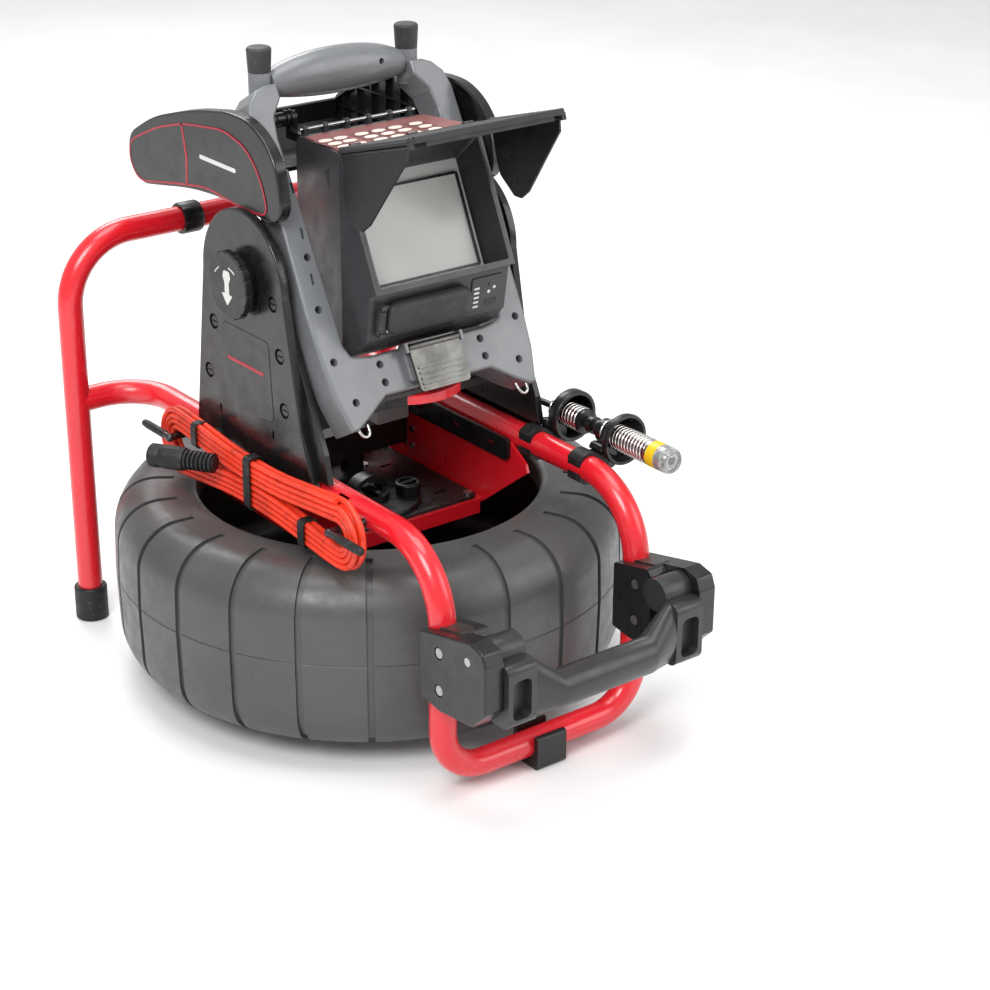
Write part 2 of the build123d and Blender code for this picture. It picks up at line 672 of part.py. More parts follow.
with BuildPart() as bezel:
    with BuildSketch(screen_plane):
        with Locations((0, (WINDOW_LOW + WINDOW_TOP) / 2)):
            RectangleRounded(2 * WINDOW_X, WINDOW_TOP - WINDOW_LOW, 4)
    extrude(amount=-MOUTH_DEPTH)
    with BuildSketch(screen_plane):
        with Locations((0, (WINDOW_LOW + WINDOW_TOP) / 2)):
            RectangleRounded(2 * WINDOW_X - 4, WINDOW_TOP - WINDOW_LOW - 4, 3)
    with BuildSketch(screen_plane.offset(-SCREEN_DEPTH)):
        with Locations((0, SCREEN_UP)):
            RectangleRounded(SCREEN_W, SCREEN_H, 2)
    loft(mode=Mode.SUBTRACT)
    with BuildSketch(screen_plane.offset(-SCREEN_DEPTH)):
        with Locations((0, SCREEN_UP)):
            Rectangle(SCREEN_W + 8, SCREEN_H + 8)
    extrude(amount=-(MOUTH_DEPTH - SCREEN_DEPTH), mode=Mode.SUBTRACT)
save(bezel.part, "display_bezel")

GLASS_T = 2.5
with BuildPart() as screen_window:
    with BuildSketch(screen_plane.offset(-SCREEN_DEPTH)):
        with Locations((0, SCREEN_UP)):
            Rectangle(SCREEN_W + 8, SCREEN_H + 8)
    extrude(amount=-GLASS_T)
save(screen_window.part, "screen_window")
with BuildPart() as lcd_panel:
    with BuildSketch(screen_plane.offset(-SCREEN_DEPTH - GLASS_T)):
        with Locations((0, SCREEN_UP)):
            Rectangle(SCREEN_W + 8, SCREEN_H + 8)
    extrude(amount=-(MOUTH_DEPTH - SCREEN_DEPTH - GLASS_T))
save(lcd_panel.part, "lcd_panel")
# keypad on the sloping deck
DECK_SLOPE = atan2(DECK_BACK_Z - DECK_FRONT_Z, DECK_BACK_Y - DECK_FRONT_Y)
deck_plane = Plane(
    origin=(0, DECK_FRONT_Y, DECK_FRONT_Z), x_dir=(1, 0, 0), z_dir=(0, -sin(DECK_SLOPE), cos(DECK_SLOPE))
)
KEYPAD_T = 1.6
key_columns = {"left": [-64, -48], "middle": [-25, -6.5, 12], "right": [35]}
key_rows = [10, 25, 40]
mat_spans = {"left": (-72, -40), "middle": (-34, 21), "right": (25, 47)}
KEYPAD_LOW = 3.0
KEYPAD_HIGH = 54.0
with BuildPart() as keypad:
    with BuildSketch(deck_plane):
        Polygon((-74, KEYPAD_LOW), (74, KEYPAD_LOW), (66, KEYPAD_HIGH + 16), (-66, KEYPAD_HIGH + 16),
                align=None)
        for near, far in mat_spans.values():
            with Locations(((near + far) / 2, (KEYPAD_LOW + KEYPAD_HIGH) / 2 - 2)):
                Rectangle(far - near + 2 * GAP, KEYPAD_HIGH - KEYPAD_LOW - 6 + 2 * GAP,
                          mode=Mode.SUBTRACT)
    extrude(amount=KEYPAD_T)
save(keypad.part, "keypad_frame")
MAT_LIFT = 0.9
for name, (near, far) in mat_spans.items():
    with BuildPart() as key_mat:
        with BuildSketch(deck_plane.offset(MAT_LIFT)):
            with Locations(((near + far) / 2, (KEYPAD_LOW + KEYPAD_HIGH) / 2 - 2)):
                RectangleRounded(far - near, KEYPAD_HIGH - KEYPAD_LOW - 6, 2)
        extrude(amount=KEYPAD_T - MAT_LIFT)
        with BuildSketch(deck_plane.offset(KEYPAD_T)):
            with Locations(*[(x, up) for x in key_columns[name] for up in key_rows]):
                Ellipse(7.2, 4.8)
        extrude(amount=1.4, taper=12)
    save(key_mat.part, f"key_mat_{name}")

with BuildPart() as deck_rod:
    with BuildSketch(side_plane(-64)):
        with Locations((DECK_BACK_Y + 1, DECK_BACK_Z + 5.0)):
            Circle(3.5)
    extrude(amount=128)
    for x in (-60, -42, -14, 2, 30, 48):
        with BuildSketch(side_plane(x - 1.5)):
            with Locations((DECK_BACK_Y + 1, DECK_BACK_Z + 5.0)):
                Circle(4.6)
        extrude(amount=3)
save(deck_rod.part, "deck_hinge_rod")

# ---- sun hood: a top visor and two side flaps ----------------------------------------------------
rise = radians(VISOR_RISE)
VISOR_T = 4.4
VISOR_X = 84.0
HINGE_R = 2.6
FLAP_X = 81.5
FLAP_DROP = 4.6
FLAP_PIN_R = 1.2
FLAP_BARREL_R = 2.0
FLAP_T = 2.0
visor_plane = Plane(origin=(0, HOOD_Y, HOOD_Z), x_dir=(1, 0, 0), z_dir=(0, -sin(rise), -cos(rise)))
with BuildPart() as visor:
    with BuildSketch(visor_plane.offset(-VISOR_T / 2)):
        Polygon((-74, 0), (74, 0), (74, 6), (VISOR_X, 10), (VISOR_X, VISOR_LEN - 6),
                (VISOR_X - 5, VISOR_LEN), (-VISOR_X + 5, VISOR_LEN), (-VISOR_X, VISOR_LEN - 6),
                (-VISOR_X, 10), (-74, 6), align=None)
    extrude(amount=VISOR_T)
    with BuildSketch(visor_plane.offset(VISOR_T / 2)):
        with Locations((0, VISOR_LEN - 3)):
            Rectangle(2 * VISOR_X - 30, 3)
    extrude(amount=4)
    with BuildSketch(side_plane(-74)):
        with Locations((HOOD_Y, HOOD_Z)):
            Circle(HINGE_R)
    extrude(amount=148)
    for x in lug_spots:
        with BuildSketch(side_plane(x - 5 - GAP)):
            with Locations((HOOD_Y, HOOD_Z)):
                Circle(7)
                Circle(1.5, mode=Mode.SUBTRACT)
        extrude(amount=10 + 2 * GAP, mode=Mode.SUBTRACT)
    with BuildSketch(visor_plane):
        for side in SIDES.values():
            with Locations((side * FLAP_X, 6), (side * FLAP_X, 114)):
                Rectangle(4.4, 5)
    extrude(amount=FLAP_DROP + FLAP_PIN_R + 1.2)
    for side in SIDES.values():
        with Locations(visor_plane * Location((side * FLAP_X, 2, FLAP_DROP), (-90, 0, 0))):
            Cylinder(FLAP_PIN_R + RUNNING_FIT, VISOR_LEN, align=STAND, mode=Mode.SUBTRACT)
save(visor.part, "sun_visor")

flap_outline = [
    (10, 0), (110, 0), (108, 12), (95, 23), (50, 62), (38, 67), (28, 64), (12, 44), (10, 30),
]
along = visor_plane.y_dir
for name, side in SIDES.items():
    flare = radians(FLAP_FLARE[name])
    hinge = visor_plane.from_local_coords((side * FLAP_X, 0, FLAP_DROP))
    down = visor_plane.z_dir * cos(flare) + visor_plane.x_dir * side * sin(flare)
    flap_plane = Plane(origin=hinge, x_dir=along, z_dir=along.cross(down))
    with BuildPart() as flap:
        with BuildSketch(flap_plane.offset(-FLAP_T / 2)):
            Polygon(*flap_outline, align=None)
        extrude(amount=FLAP_T)
        with Locations(flap_plane * Location((9, 0, 0), (0, 90, 0))):
            Cylinder(FLAP_BARREL_R, 102, align=STAND)
        with Locations(flap_plane * Location((4, 0, 0), (0, 90, 0))):
            Cylinder(FLAP_PIN_R, 112, align=STAND)
    save(flap.part, f"hood_flap_{name}")

# ---- connector cover, its seat, and the dock latch -----------------------------------------------
with BuildPart() as port_cover:
    with BuildSketch(chin_plane.offset(GAP)):
        with Locations(((COVER_LEFT + COVER_RIGHT) / 2, 20)):
            RectangleRounded(COVER_RIGHT - COVER_LEFT, 33, 6)
    extrude(amount=COVER_T)
    fillet(port_cover.faces().sort_by(Axis(chin_plane.origin, chin_plane.z_dir))[-1].edges(), 3)
    with BuildSketch(chin_plane):
        with Locations((COVER_LEFT - 1, 6), (COVER_LEFT - 1, 34)):
            Rectangle(8.2, 5)
    extrude(amount=COVER_T + 2, mode=Mode.SUBTRACT)
    with Locations(chin_plane * Location((COVER_LEFT - 1, 10, COVER_PIVOT), (-90, 0, 0))):
        Cylinder(3.2, 20, align=STAND)
    with Locations(chin_plane * Location((COVER_LEFT - 1, 4, COVER_PIVOT), (-90, 0, 0))):
        Cylinder(1.5, 32, align=STAND, mode=Mode.SUBTRACT)
save(port_cover.part, "port_cover")

LATCH_X = -2.0
BOSS_FOOT = 22.0
BOSS_HEAD = 57.0
BOSS_T = 7.0
with BuildPart() as latch_boss:
    with BuildSketch(frame_plane):
        with Locations((LATCH_X, (BOSS_FOOT + BOSS_HEAD) / 2)):
            RectangleRounded(64, BOSS_HEAD - BOSS_FOOT, 3)
    extrude(amount=BOSS_T)
    with BuildSketch(frame_plane.offset(BOSS_T)):
        for x in (LATCH_X - 31, LATCH_X + 31):
            with Locations((x, BOSS_HEAD - 5)):
                Rectangle(3, 9)
    extrude(amount=7)
    with Locations(frame_plane * Location((LATCH_X - 32, BOSS_HEAD - 5, BOSS_T + 4), (0, 90, 0))):
        Cylinder(1.5, 64, align=STAND)
save(latch_boss.part, "latch_boss")
with BuildPart() as latch:
    with BuildSketch(frame_plane.offset(BOSS_T + 2.6)):
        with Locations((LATCH_X, BOSS_HEAD - 5)):
            RectangleRounded(56, 42, 4, align=(Align.CENTER, Align.MAX))
    extrude(amount=2.8)
    with Locations(frame_plane * Location((LATCH_X - 28, BOSS_HEAD - 5, BOSS_T + 4), (0, 90, 0))):
        Cylinder(3.2, 56, align=STAND)
        Cylinder(1.5 + RUNNING_FIT, 56, align=STAND, mode=Mode.SUBTRACT)
    with BuildSketch(frame_plane.offset(BOSS_T + 5.4)):
        with Locations(*[(LATCH_X, BOSS_HEAD - up) for up in (36, 40, 44)]):
            Rectangle(48, 1.6)
    extrude(amount=0.8)
save(latch.part, "dock_latch")

# ---- rear shells and the open bin between them ----------------------------------------------------
shell_outline = [
    (-54, 478), (-45, 532), (-25, 554), (2, 566), (35, 567), (97, 556), (171, 534), (216, 509),
    (220, 485), (199, 462), (75, 485),
]
SHELL_SKIN = 3.0
SHELL_RIM = 3.0


def flowing_radii(points, share=0.46):
    """The corner radii that turn a closed outline into one nearly continuous curve."""
    looped = [(0, y, z) for y, z in points]
    return tangent_radii([looped[-1]] + looped + [looped[0]], share)


shell_radii = flowing_radii(shell_outline)
for name, side in SIDES.items():
    low, thick = across(side, SHELL_IN, SHELL_OUT)
    pocket, depth = across(side, SHELL_IN, SHELL_OUT - SHELL_SKIN)
    with BuildPart() as shell:
        with BuildSketch(side_plane(low)):
            with BuildLine():
                FilletPolyline(*shell_outline, radius=shell_radii, close=True)
            make_face()
        extrude(amount=thick)
        fillet(shell.faces().sort_by(Axis.X)[-1 if side > 0 else 0].edges(), 2)
        with BuildSketch(side_plane(pocket)):
            with BuildLine():
                FilletPolyline(*shell_outline, radius=shell_radii, close=True)
            make_face()
            offset(amount=-SHELL_RIM, mode=Mode.REPLACE)
        extrude(amount=depth, mode=Mode.SUBTRACT)
        rib_low, rib_deep = across(side, SHELL_OUT - SHELL_SKIN - 5, SHELL_OUT - SHELL_SKIN)
        with BuildSketch(side_plane(rib_low)) as ribs:
            with Locations(*[(y, 515) for y in range(55, 206, 25)]):
                Rectangle(1.8, 110)
            with Locations((110, 500), (110, 525)):
                Rectangle(220, 1.8)
            with BuildSketch(mode=Mode.INTERSECT):
                with BuildLine():
                    FilletPolyline(*shell_outline, radius=shell_radii, close=True)
                make_face()
                offset(amount=-SHELL_RIM + 0.5, mode=Mode.REPLACE)
        extrude(amount=rib_deep)
    save(shell.part, f"rear_shell_{name}")

bin_outline = [
    (76, 486.5), (198, 464), (218, 486), (214, 508), (210, 507), (213.5, 487), (197, 468.5), (76, 491),
]
with BuildPart() as bin_panel:
    with BuildSketch(side_plane(-SHELL_IN)):
        Polygon(*bin_outline, align=None)
    extrude(amount=2 * SHELL_IN)
save(bin_panel.part, "storage_bin")

with BuildPart() as deck_connector:
    with Locations(Location((-45, 46, 548), (0, -90, 0))):
        Cylinder(6, 22, align=STAND)
        with Locations((0, 0, 26)):
            Sphere(8)
        with Locations((0, 0, 4), (0, 0, 9)):
            Cylinder(7.5, 2.5, align=STAND)
    with Locations(Location((-48, CASE_BACK, 532), (-90, 0, 0))):
        Box(8, 8, 34, align=STAND)
    with Locations((-48, 46, 528)):
        Box(8, 8, 20, align=STAND)
save(deck_connector.part, "deck_connector")

# ---- front lift handle -----------------------------------------------------------------------------
CLAMP_IN = 91.5
CLAMP_OUT = 131.5
HINGE_Y = -332.0
HINGE_Z = 169.0
BARREL_R = 15.5
PIN_R = 4.0
CHEEK_FRONT = -357.0
screw_heights = (160.0, 123.5)
SCREW_Y = -291.0
cheek_outline = [
    (-262, 172), (-335, 188), (-352, 184), (CHEEK_FRONT, 172), (CHEEK_FRONT, 127), (-338, 108),
    (-292, 103), (-262, 107),
]
inner_outline = [(-262, 172), (-308, 182), (-314, 176), (-314, 110), (-306, 104), (-292, 103), (-262, 107)]
for name, side in SIDES.items():
    with BuildPart() as clamp:
        low, thick = across(side, RAIL_X + GAP / 2, CLAMP_OUT)
        with BuildSketch(side_plane(low)) as cheek:
            Polygon(*cheek_outline, align=None)
            fillet(cheek.vertices(), 5)
            with Locations((HINGE_Y, HINGE_Z)):
                Circle(PIN_R, mode=Mode.SUBTRACT)
        extrude(amount=thick)
        outer_face = clamp.faces().sort_by(Axis.X)[-1 if side > 0 else 0]
        fillet(outer_face.outer_wire().edges(), 2)
        low, thick = across(side, CLAMP_IN, RAIL_X - GAP / 2)
        with BuildSketch(side_plane(low)) as inner_half_face:
            Polygon(*inner_outline, align=None)
            fillet(inner_half_face.vertices(), 3)
        extrude(amount=thick)
        add(tube_along(front_path, front_bends, TUBE_R), mode=Mode.SUBTRACT)
        for z in screw_heights:
            with Locations(Location((side * (CLAMP_OUT - 3), SCREW_Y, z), (0, 90 * side, 0))):
                Cylinder(6, 4, align=STAND, mode=Mode.SUBTRACT)
            with Locations(Location((side * (CLAMP_IN + 3), SCREW_Y, z), (0, -90 * side, 0))):
                Cylinder(6, 4, align=STAND, mode=Mode.SUBTRACT)
            with Locations(Location((side * CLAMP_IN, SCREW_Y, z), (0, 90 * side, 0))):
                Cylinder(3, 60, align=STAND, mode=Mode.SUBTRACT)
    save(clamp.part, f"handle_clamp_{name}")

with BuildPart() as clamp_screws:
    for side in SIDES.values():
        for z in screw_heights:
            with Locations(Location((side * (CLAMP_IN + 0.6), SCREW_Y, z), (0, 90 * side, 0))):
                Cylinder(3, CLAMP_OUT - CLAMP_IN - 1, align=STAND)
            with Locations(Location((side * (CLAMP_OUT - 3), SCREW_Y, z), (0, 90 * side, 0))):
                Cylinder(4.8, 2.4, align=STAND)
            with Locations(Location((side * (CLAMP_IN + 3), SCREW_Y, z), (0, -90 * side, 0))):
                Cylinder(4.8, 2.4, align=STAND)
save(clamp_screws.part, "clamp_screws")

PIN_REACH = 84.0
with BuildPart() as handle_pins:
    for side in SIDES.values():
        low, thick = across(side, PIN_REACH, CLAMP_OUT)
        with BuildSketch(side_plane(low)):
            with Locations((HINGE_Y, HINGE_Z)):
                Circle(PIN_R)
        extrude(amount=thick)
save(handle_pins.part, "handle_pins")

GRIP_R = 16.0
GRIP_Y = -356.0
GRIP_Z = 128.0
GRIP_REACH = 50.0
EAR_IN = 80.0
EAR_OUT = RAIL_X - GAP
EAR_DEEP = 27.0
EAR_FOOT = 108.0
EAR_TOP = 168.0
EAR_Y = -350.0
with BuildPart() as grip:
    with BuildSketch(side_plane(-GRIP_REACH)):
        with Locations((GRIP_Y, GRIP_Z)):
            Ellipse(GRIP_R, GRIP_R + 1.5)
    extrude(amount=2 * GRIP_REACH)
    for side in SIDES.values():
        with BuildSketch(side_plane(side * GRIP_REACH)):
            with Locations((GRIP_Y, GRIP_Z)):
                Ellipse(GRIP_R, GRIP_R + 1.5)
        with BuildSketch(side_plane(side * EAR_IN)):
            with Locations((EAR_Y, (EAR_FOOT + EAR_TOP) / 2)):
                Ellipse(EAR_DEEP / 2, (EAR_TOP - EAR_FOOT) / 2)
        loft()
        low, thick = across(side, EAR_IN, EAR_OUT)
        with BuildSketch(side_plane(low)):
            with Locations((EAR_Y, (EAR_FOOT + EAR_TOP) / 2)):
                RectangleRounded(EAR_DEEP, EAR_TOP - EAR_FOOT, 8)
            with Locations((HINGE_Y, HINGE_Z)):
                Circle(BARREL_R)
        extrude(amount=thick)
        with BuildSketch(Plane.XZ.offset(-EAR_Y + EAR_DEEP)):
            with Locations((side * 96, 135)):
                RectangleRounded(20, 38, 6)
        extrude(amount=-EAR_DEEP / 2 - 10, mode=Mode.SUBTRACT)
        low, thick = across(side, EAR_IN + 4, EAR_OUT)
        with BuildSketch(side_plane(low)):
            with Locations((HINGE_Y, HINGE_Z)):
                Circle(PIN_R + RUNNING_FIT)
        extrude(amount=thick, mode=Mode.SUBTRACT)
save(grip.part, "handle_grip")

# ---- camera parked at the right: guide rings, springs, head and push cable -----------------------
CLIP_SPOTS = (-118.0, -192.0)
CLIP_L = 18.0
RING_SEAT = (-128.0, -202.0)
RING_OUT = 24.0
with BuildPart() as clips:
    for clip_y in CLIP_SPOTS:
        with BuildSketch(Plane.XZ.offset(-clip_y - CLIP_L / 2)):
            with Locations((RAIL_X, RAIL_Z)):
                Circle(TUBE_R + 3.5)
                Circle(TUBE_R, mode=Mode.SUBTRACT)
            with Locations((RAIL_X + TUBE_R + 5, RAIL_Z)):
                Rectangle(11, 20)
            with Locations((RAIL_X, RAIL_Z)):
                Circle(TUBE_R, mode=Mode.SUBTRACT)
            with Locations((TRAY_X + GAP, RAIL_Z)):
                Rectangle(60, 60, align=(Align.MAX, Align.CENTER), mode=Mode.SUBTRACT)
        extrude(amount=CLIP_L)
save(clips.part, "parking_clips")

CLIP_FACE = RAIL_X + TUBE_R + 10.5
with BuildPart() as rings:
    for clip_y, ring_y in zip(CLIP_SPOTS, RING_SEAT):
        with BuildSketch(Plane.XZ.offset(-ring_y - 6)):
            with Locations((PARK_X, PARK_Z)):
                Circle(RING_OUT)
        extrude(amount=12)
        with Locations((CLIP_FACE, clip_y, RAIL_Z - 4)):
            Box(60, 60, 30, align=(Align.MAX, Align.CENTER, Align.CENTER), mode=Mode.SUBTRACT)
        with Locations((CLIP_FACE, clip_y, RAIL_Z + 6)):
            Box(9, CLIP_L, 26, align=(Align.MIN, Align.CENTER, Align.CENTER))
        with Locations((PARK_X, 0, PARK_Z)):
            Cylinder(HEAD_R, 900, rotation=(90, 0, 0), mode=Mode.SUBTRACT)
save(rings.part, "guide_rings")


def coil_spring(rear_y, front_y, wire, pitch):
    """A close-wound spring about the parking line from rear_y forward to front_y."""
    turns = int((rear_y - front_y - 2 * wire) / pitch) + 1
    with BuildPart(Plane(origin=(PARK_X, rear_y, PARK_Z), z_dir=(0, -1, 0))) as spring:
        Cylinder(HEAD_R - wire, rear_y - front_y, align=STAND)
        with Locations(*[(0, 0, wire + pitch * turn) for turn in range(turns)]):
            Torus(HEAD_R - wire, wire)
    return spring.part


LINK_R = 5.5
TAIL_END = -106.0
GUIDE_END = -150.0
SPRING_REAR = -182.0
SPRING_FRONT = -234.0
HEAD_FRONT = -276.0
with BuildPart() as guide_spring:
    add(coil_spring(TAIL_END, GUIDE_END, 1.6, 3.4))
    with Locations(Location((PARK_X, GUIDE_END, PARK_Z), (90, 0, 0))):
        Cylinder(LINK_R, GUIDE_END - SPRING_REAR, align=STAND)
        with Locations((0, 0, 8), (0, 0, 20)):
            Cylinder(8, 5, align=STAND)
save(guide_spring.part, "cable_end_spring")
save(coil_spring(SPRING_REAR, SPRING_FRONT, 1.6, 3.4), "camera_spring")

BAND_L = 7.0
with BuildPart(Plane(origin=(PARK_X, SPRING_FRONT, PARK_Z), z_dir=(0, -1, 0))) as head:
    Cylinder(HEAD_R - 0.3, BAND_L, align=STAND)
    with Locations((0, 0, BAND_L)):
        Cylinder(HEAD_R, SPRING_FRONT - HEAD_FRONT - BAND_L, align=STAND)
    fillet(head.faces().sort_by(Axis.Y)[0].edges(), 3)
    with Locations((0, 0, SPRING_FRONT - HEAD_FRONT - 2)):
        Cylinder(9.5, 3, align=STAND, mode=Mode.SUBTRACT)
        Cylinder(4, 2, align=STAND)
    with Locations((0, 0, SPRING_FRONT - HEAD_FRONT - 2)):
        with PolarLocations(7, 6):
            Cylinder(1.2, 1, align=STAND)
save(head.part, "camera_head")

cable_points = [
    (168, 128, 84), (150, 112, 128), (137, 52, 196), (PARK_X, -18, PARK_Z), (PARK_X, TAIL_END, PARK_Z),
]


cable_radii = tangent_radii(cable_points)
print("push cable radii", [round(r, 1) for r in cable_radii])
save(tube_along(cable_points, cable_radii, CABLE_R), "push_cable_tail")

# ---- system cable hank at the left -----------------------------------------------------------------
HANK_BAND = 24.0
HOOK_R = 3.6
HOOK_Z = 239.0
HORN_L = 48.0
hank_mid_y = (HANK_FRONT + HANK_BACK) / 2
hank_long = HANK_BACK - HANK_FRONT
with BuildPart() as hank:
    with BuildSketch(side_plane(HANK_X - HANK_T / 2)):
        with Locations((hank_mid_y, HANK_Z)):
            SlotOverall(hank_long, HANK_H)
            SlotOverall(hank_long - 2 * HANK_BAND, HANK_H - 2 * HANK_BAND, mode=Mode.SUBTRACT)
    extrude(amount=HANK_T)
    fillet(hank.edges().filter_by(Plane.YZ), 5)
save(hank.part, "cable_hank")

hook_spots = (HANK_FRONT + HANK_BAND + HOOK_R + 5, HANK_BACK - HANK_BAND - HOOK_R - 5)
with BuildPart() as hooks:
    for hook_y in hook_spots:
        with Locations(Location((-RAIL_X - TUBE_R + 4, hook_y, HOOK_Z), (0, -90, 0))):
            Cylinder(HOOK_R, 40, align=STAND)
        turn = 90 if hook_y < 0 else -90
        with Locations(Location((-RAIL_X - TUBE_R - 38, hook_y, HOOK_Z), (turn, 0, 0))):
            Cylinder(HOOK_R, HORN_L, align=STAND)
            Sphere(HOOK_R + 0.6)
        with Locations(Location((-RAIL_X, hook_y, RAIL_Z), (90, 0, 0))):
            Cylinder(TUBE_R, 40, mode=Mode.SUBTRACT)
save(hooks.part, "cable_hooks")

PLUG_R = 11.5
PLUG_BODY = 38.0
plug_end = Vector(-200, 72, 241)
plug_tip = Vector(-165, 12, 243)
with BuildPart(Plane(origin=plug_end, z_dir=plug_tip - plug_end)) as plug:
    Cylinder(PLUG_R, PLUG_BODY, align=STAND)
    with Locations((0, 0, PLUG_BODY)):
        Cylinder(7.5, (plug_tip - plug_end).length - PLUG_BODY, align=STAND)
    with Locations(*[(0, 0, PLUG_BODY + 2 + 5 * ring) for ring in range(5)]):
        Cylinder(9.5, 2.5, align=STAND)
save(plug.part, "hank_connector")
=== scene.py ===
from math import atan2, cos, pi, radians, sin
import bmesh
import bpy
from mathutils import Matrix, Vector


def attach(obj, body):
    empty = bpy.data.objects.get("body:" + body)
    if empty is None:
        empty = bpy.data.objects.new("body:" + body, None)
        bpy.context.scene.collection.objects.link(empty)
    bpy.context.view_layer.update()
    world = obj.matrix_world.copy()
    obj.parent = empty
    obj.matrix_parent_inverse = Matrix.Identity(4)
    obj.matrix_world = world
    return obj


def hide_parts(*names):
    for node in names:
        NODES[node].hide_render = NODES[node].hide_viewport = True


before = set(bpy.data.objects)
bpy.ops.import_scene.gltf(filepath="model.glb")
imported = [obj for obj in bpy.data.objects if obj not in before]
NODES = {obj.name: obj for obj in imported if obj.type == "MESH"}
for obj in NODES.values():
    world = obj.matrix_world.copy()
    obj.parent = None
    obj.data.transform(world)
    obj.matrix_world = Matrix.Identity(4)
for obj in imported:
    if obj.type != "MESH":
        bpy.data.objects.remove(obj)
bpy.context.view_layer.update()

MM = 0.001
PARK_X, PARK_Z = 148.0, 262.0


def mm(x, y, z):
    return Vector((x * MM, y * MM, z * MM))


# ---------------------------------------------------------------- camera and light
CAMERA_AT = (-1178.9, -1712.9, 1096.5)
LENS = 84.13
az, el, roll = radians(-37.93), radians(24.01), radians(0.36)
back = Vector((sin(az) * cos(el), -cos(az) * cos(el), sin(el)))
right = (-back).cross(Vector((0, 0, 1))).normalized()
up = right.cross(-back).normalized()
r_axis = right * cos(roll) + up * sin(roll)
u_axis = up * cos(roll) - right * sin(roll)
cam_data = bpy.data.cameras.new("photo_camera")
cam_data.sensor_width = 36
cam_data.lens = LENS
camera = bpy.data.objects.new("photo_camera", cam_data)
bpy.context.collection.objects.link(camera)
turn = Matrix((r_axis, u_axis, back)).transposed().to_4x4()
camera.matrix_world = Matrix.Translation(mm(*CAMERA_AT)) @ turn
bpy.context.scene.camera = camera


def link(obj):
    bpy.context.collection.objects.link(obj)
    return obj


def area_light(name, place, target, size, power, tint=(1, 1, 1)):
    data = bpy.data.lights.new(name, "AREA")
    data.shape = "DISK"
    data.size = size
    data.energy = power
    data.color = tint
    lamp = link(bpy.data.objects.new(name, data))
    lamp.location = place
    lamp.rotation_euler = (Vector(target) - Vector(place)).to_track_quat("-Z", "Y").to_euler()
    return lamp


area_light("key_light", (-1.9, -1.3, 2.4), (0, 0, 0.25), 1.5, 62)
area_light("fill_light", (1.6, -2.2, 1.5), (0, 0, 0.25), 2.0, 26)
area_light("rim_light", (0.6, 2.2, 2.3), (0, 0, 0.3), 1.6, 40)
area_light("top_light", (0.0, -0.2, 2.8), (0, 0, 0.2), 1.8, 36)
world = bpy.data.worlds.new("studio")
bpy.context.scene.world = world
world.use_nodes = True
world.node_tree.nodes["Background"].inputs["Color"].default_value = (1, 1, 1, 1)
world.node_tree.nodes["Background"].inputs["Strength"].default_value = 0.62
bpy.context.scene.view_settings.view_transform = "Standard"


# ---------------------------------------------------------------- materials
class Graph:
    """A small helper round a material's node tree."""

    def __init__(self, name):
        self.mat = bpy.data.materials.new(name)
        self.mat.use_nodes = True
        self.nodes = self.mat.node_tree.nodes
        self.links = self.mat.node_tree.links
        self.shader = self.nodes["Principled BSDF"]
        self.coords = self.nodes.new("ShaderNodeTexCoord")

    def noise(self, scale, detail=3.0, rough=0.5, stretch=(1, 1, 1)):
        mapping = self.nodes.new("ShaderNodeMapping")
        mapping.inputs["Scale"].default_value = stretch
        self.links.new(self.coords.outputs["Object"], mapping.inputs["Vector"])
        tex = self.nodes.new("ShaderNodeTexNoise")
        tex.inputs["Scale"].default_value = scale
        tex.inputs["Detail"].default_value = detail
        tex.inputs["Roughness"].default_value = rough
        self.links.new(mapping.outputs["Vector"], tex.inputs["Vector"])
        return tex.outputs["Fac"]

    def spread(self, fac, low, high, start=0.35, end=0.65):
        """Maps a noise factor to a range of numbers."""
        node = self.nodes.new("ShaderNodeMapRange")
        node.inputs["From Min"].default_value = start
        node.inputs["From Max"].default_value = end
        node.inputs["To Min"].default_value = low
        node.inputs["To Max"].default_value = high
        self.links.new(fac, node.inputs["Value"])
        return node.outputs["Result"]

    def mix(self, fac, first, second):
        node = self.nodes.new("ShaderNodeMix")
        node.data_type = "RGBA"
        for socket, value in ((node.inputs[6], first), (node.inputs[7], second)):
            if isinstance(value, bpy.types.NodeSocket):
                self.links.new(value, socket)
            else:
                socket.default_value = (*value, 1)
        self.links.new(fac, node.inputs[0])
        return node.outputs[2]

    def bump(self, height, strength, distance):
        node = self.nodes.new("ShaderNodeBump")
        node.inputs["Strength"].default_value = strength
        node.inputs["Distance"].default_value = distance
        self.links.new(height, node.inputs["Height"])
        old = self.shader.inputs["Normal"].links
        if old:
            self.links.new(old[0].from_socket, node.inputs["Normal"])
        self.links.new(node.outputs["Normal"], self.shader.inputs["Normal"])

    def put(self, name, value):
        if isinstance(value, bpy.types.NodeSocket):
            self.links.new(value, self.shader.inputs[name])
        else:
            self.shader.inputs[name].default_value = value


def shade(color, factor):
    return tuple(min(1.0, c * factor) for c in color)


def plastic(name, color, rough=0.45, grain=900, depth=0.00012, coat=0.0, vary=0.10):
    """Moulded plastic: fine leathered grain, faint cloudiness and rubbed patches."""
    g = Graph(name)
    cloud = g.spread(g.noise(9, 4), 0, 1)
    scuff = g.spread(g.noise(46, 6, 0.7), 0, 1, 0.58, 0.72)
    base = g.mix(cloud, shade(color, 1 - vary), shade(color, 1 + vary))
    g.put("Base Color", g.mix(scuff, base, shade(color, 1 + 1.8 * vary)))
    g.put("Roughness", g.spread(g.noise(60, 5, 0.6), rough - 0.07, rough + 0.09))
    g.put("Coat Weight", coat)
    g.put("Coat Roughness", 0.25)
    g.bump(g.noise(grain, 2, 0.5), 0.35, depth)
    return g.mat


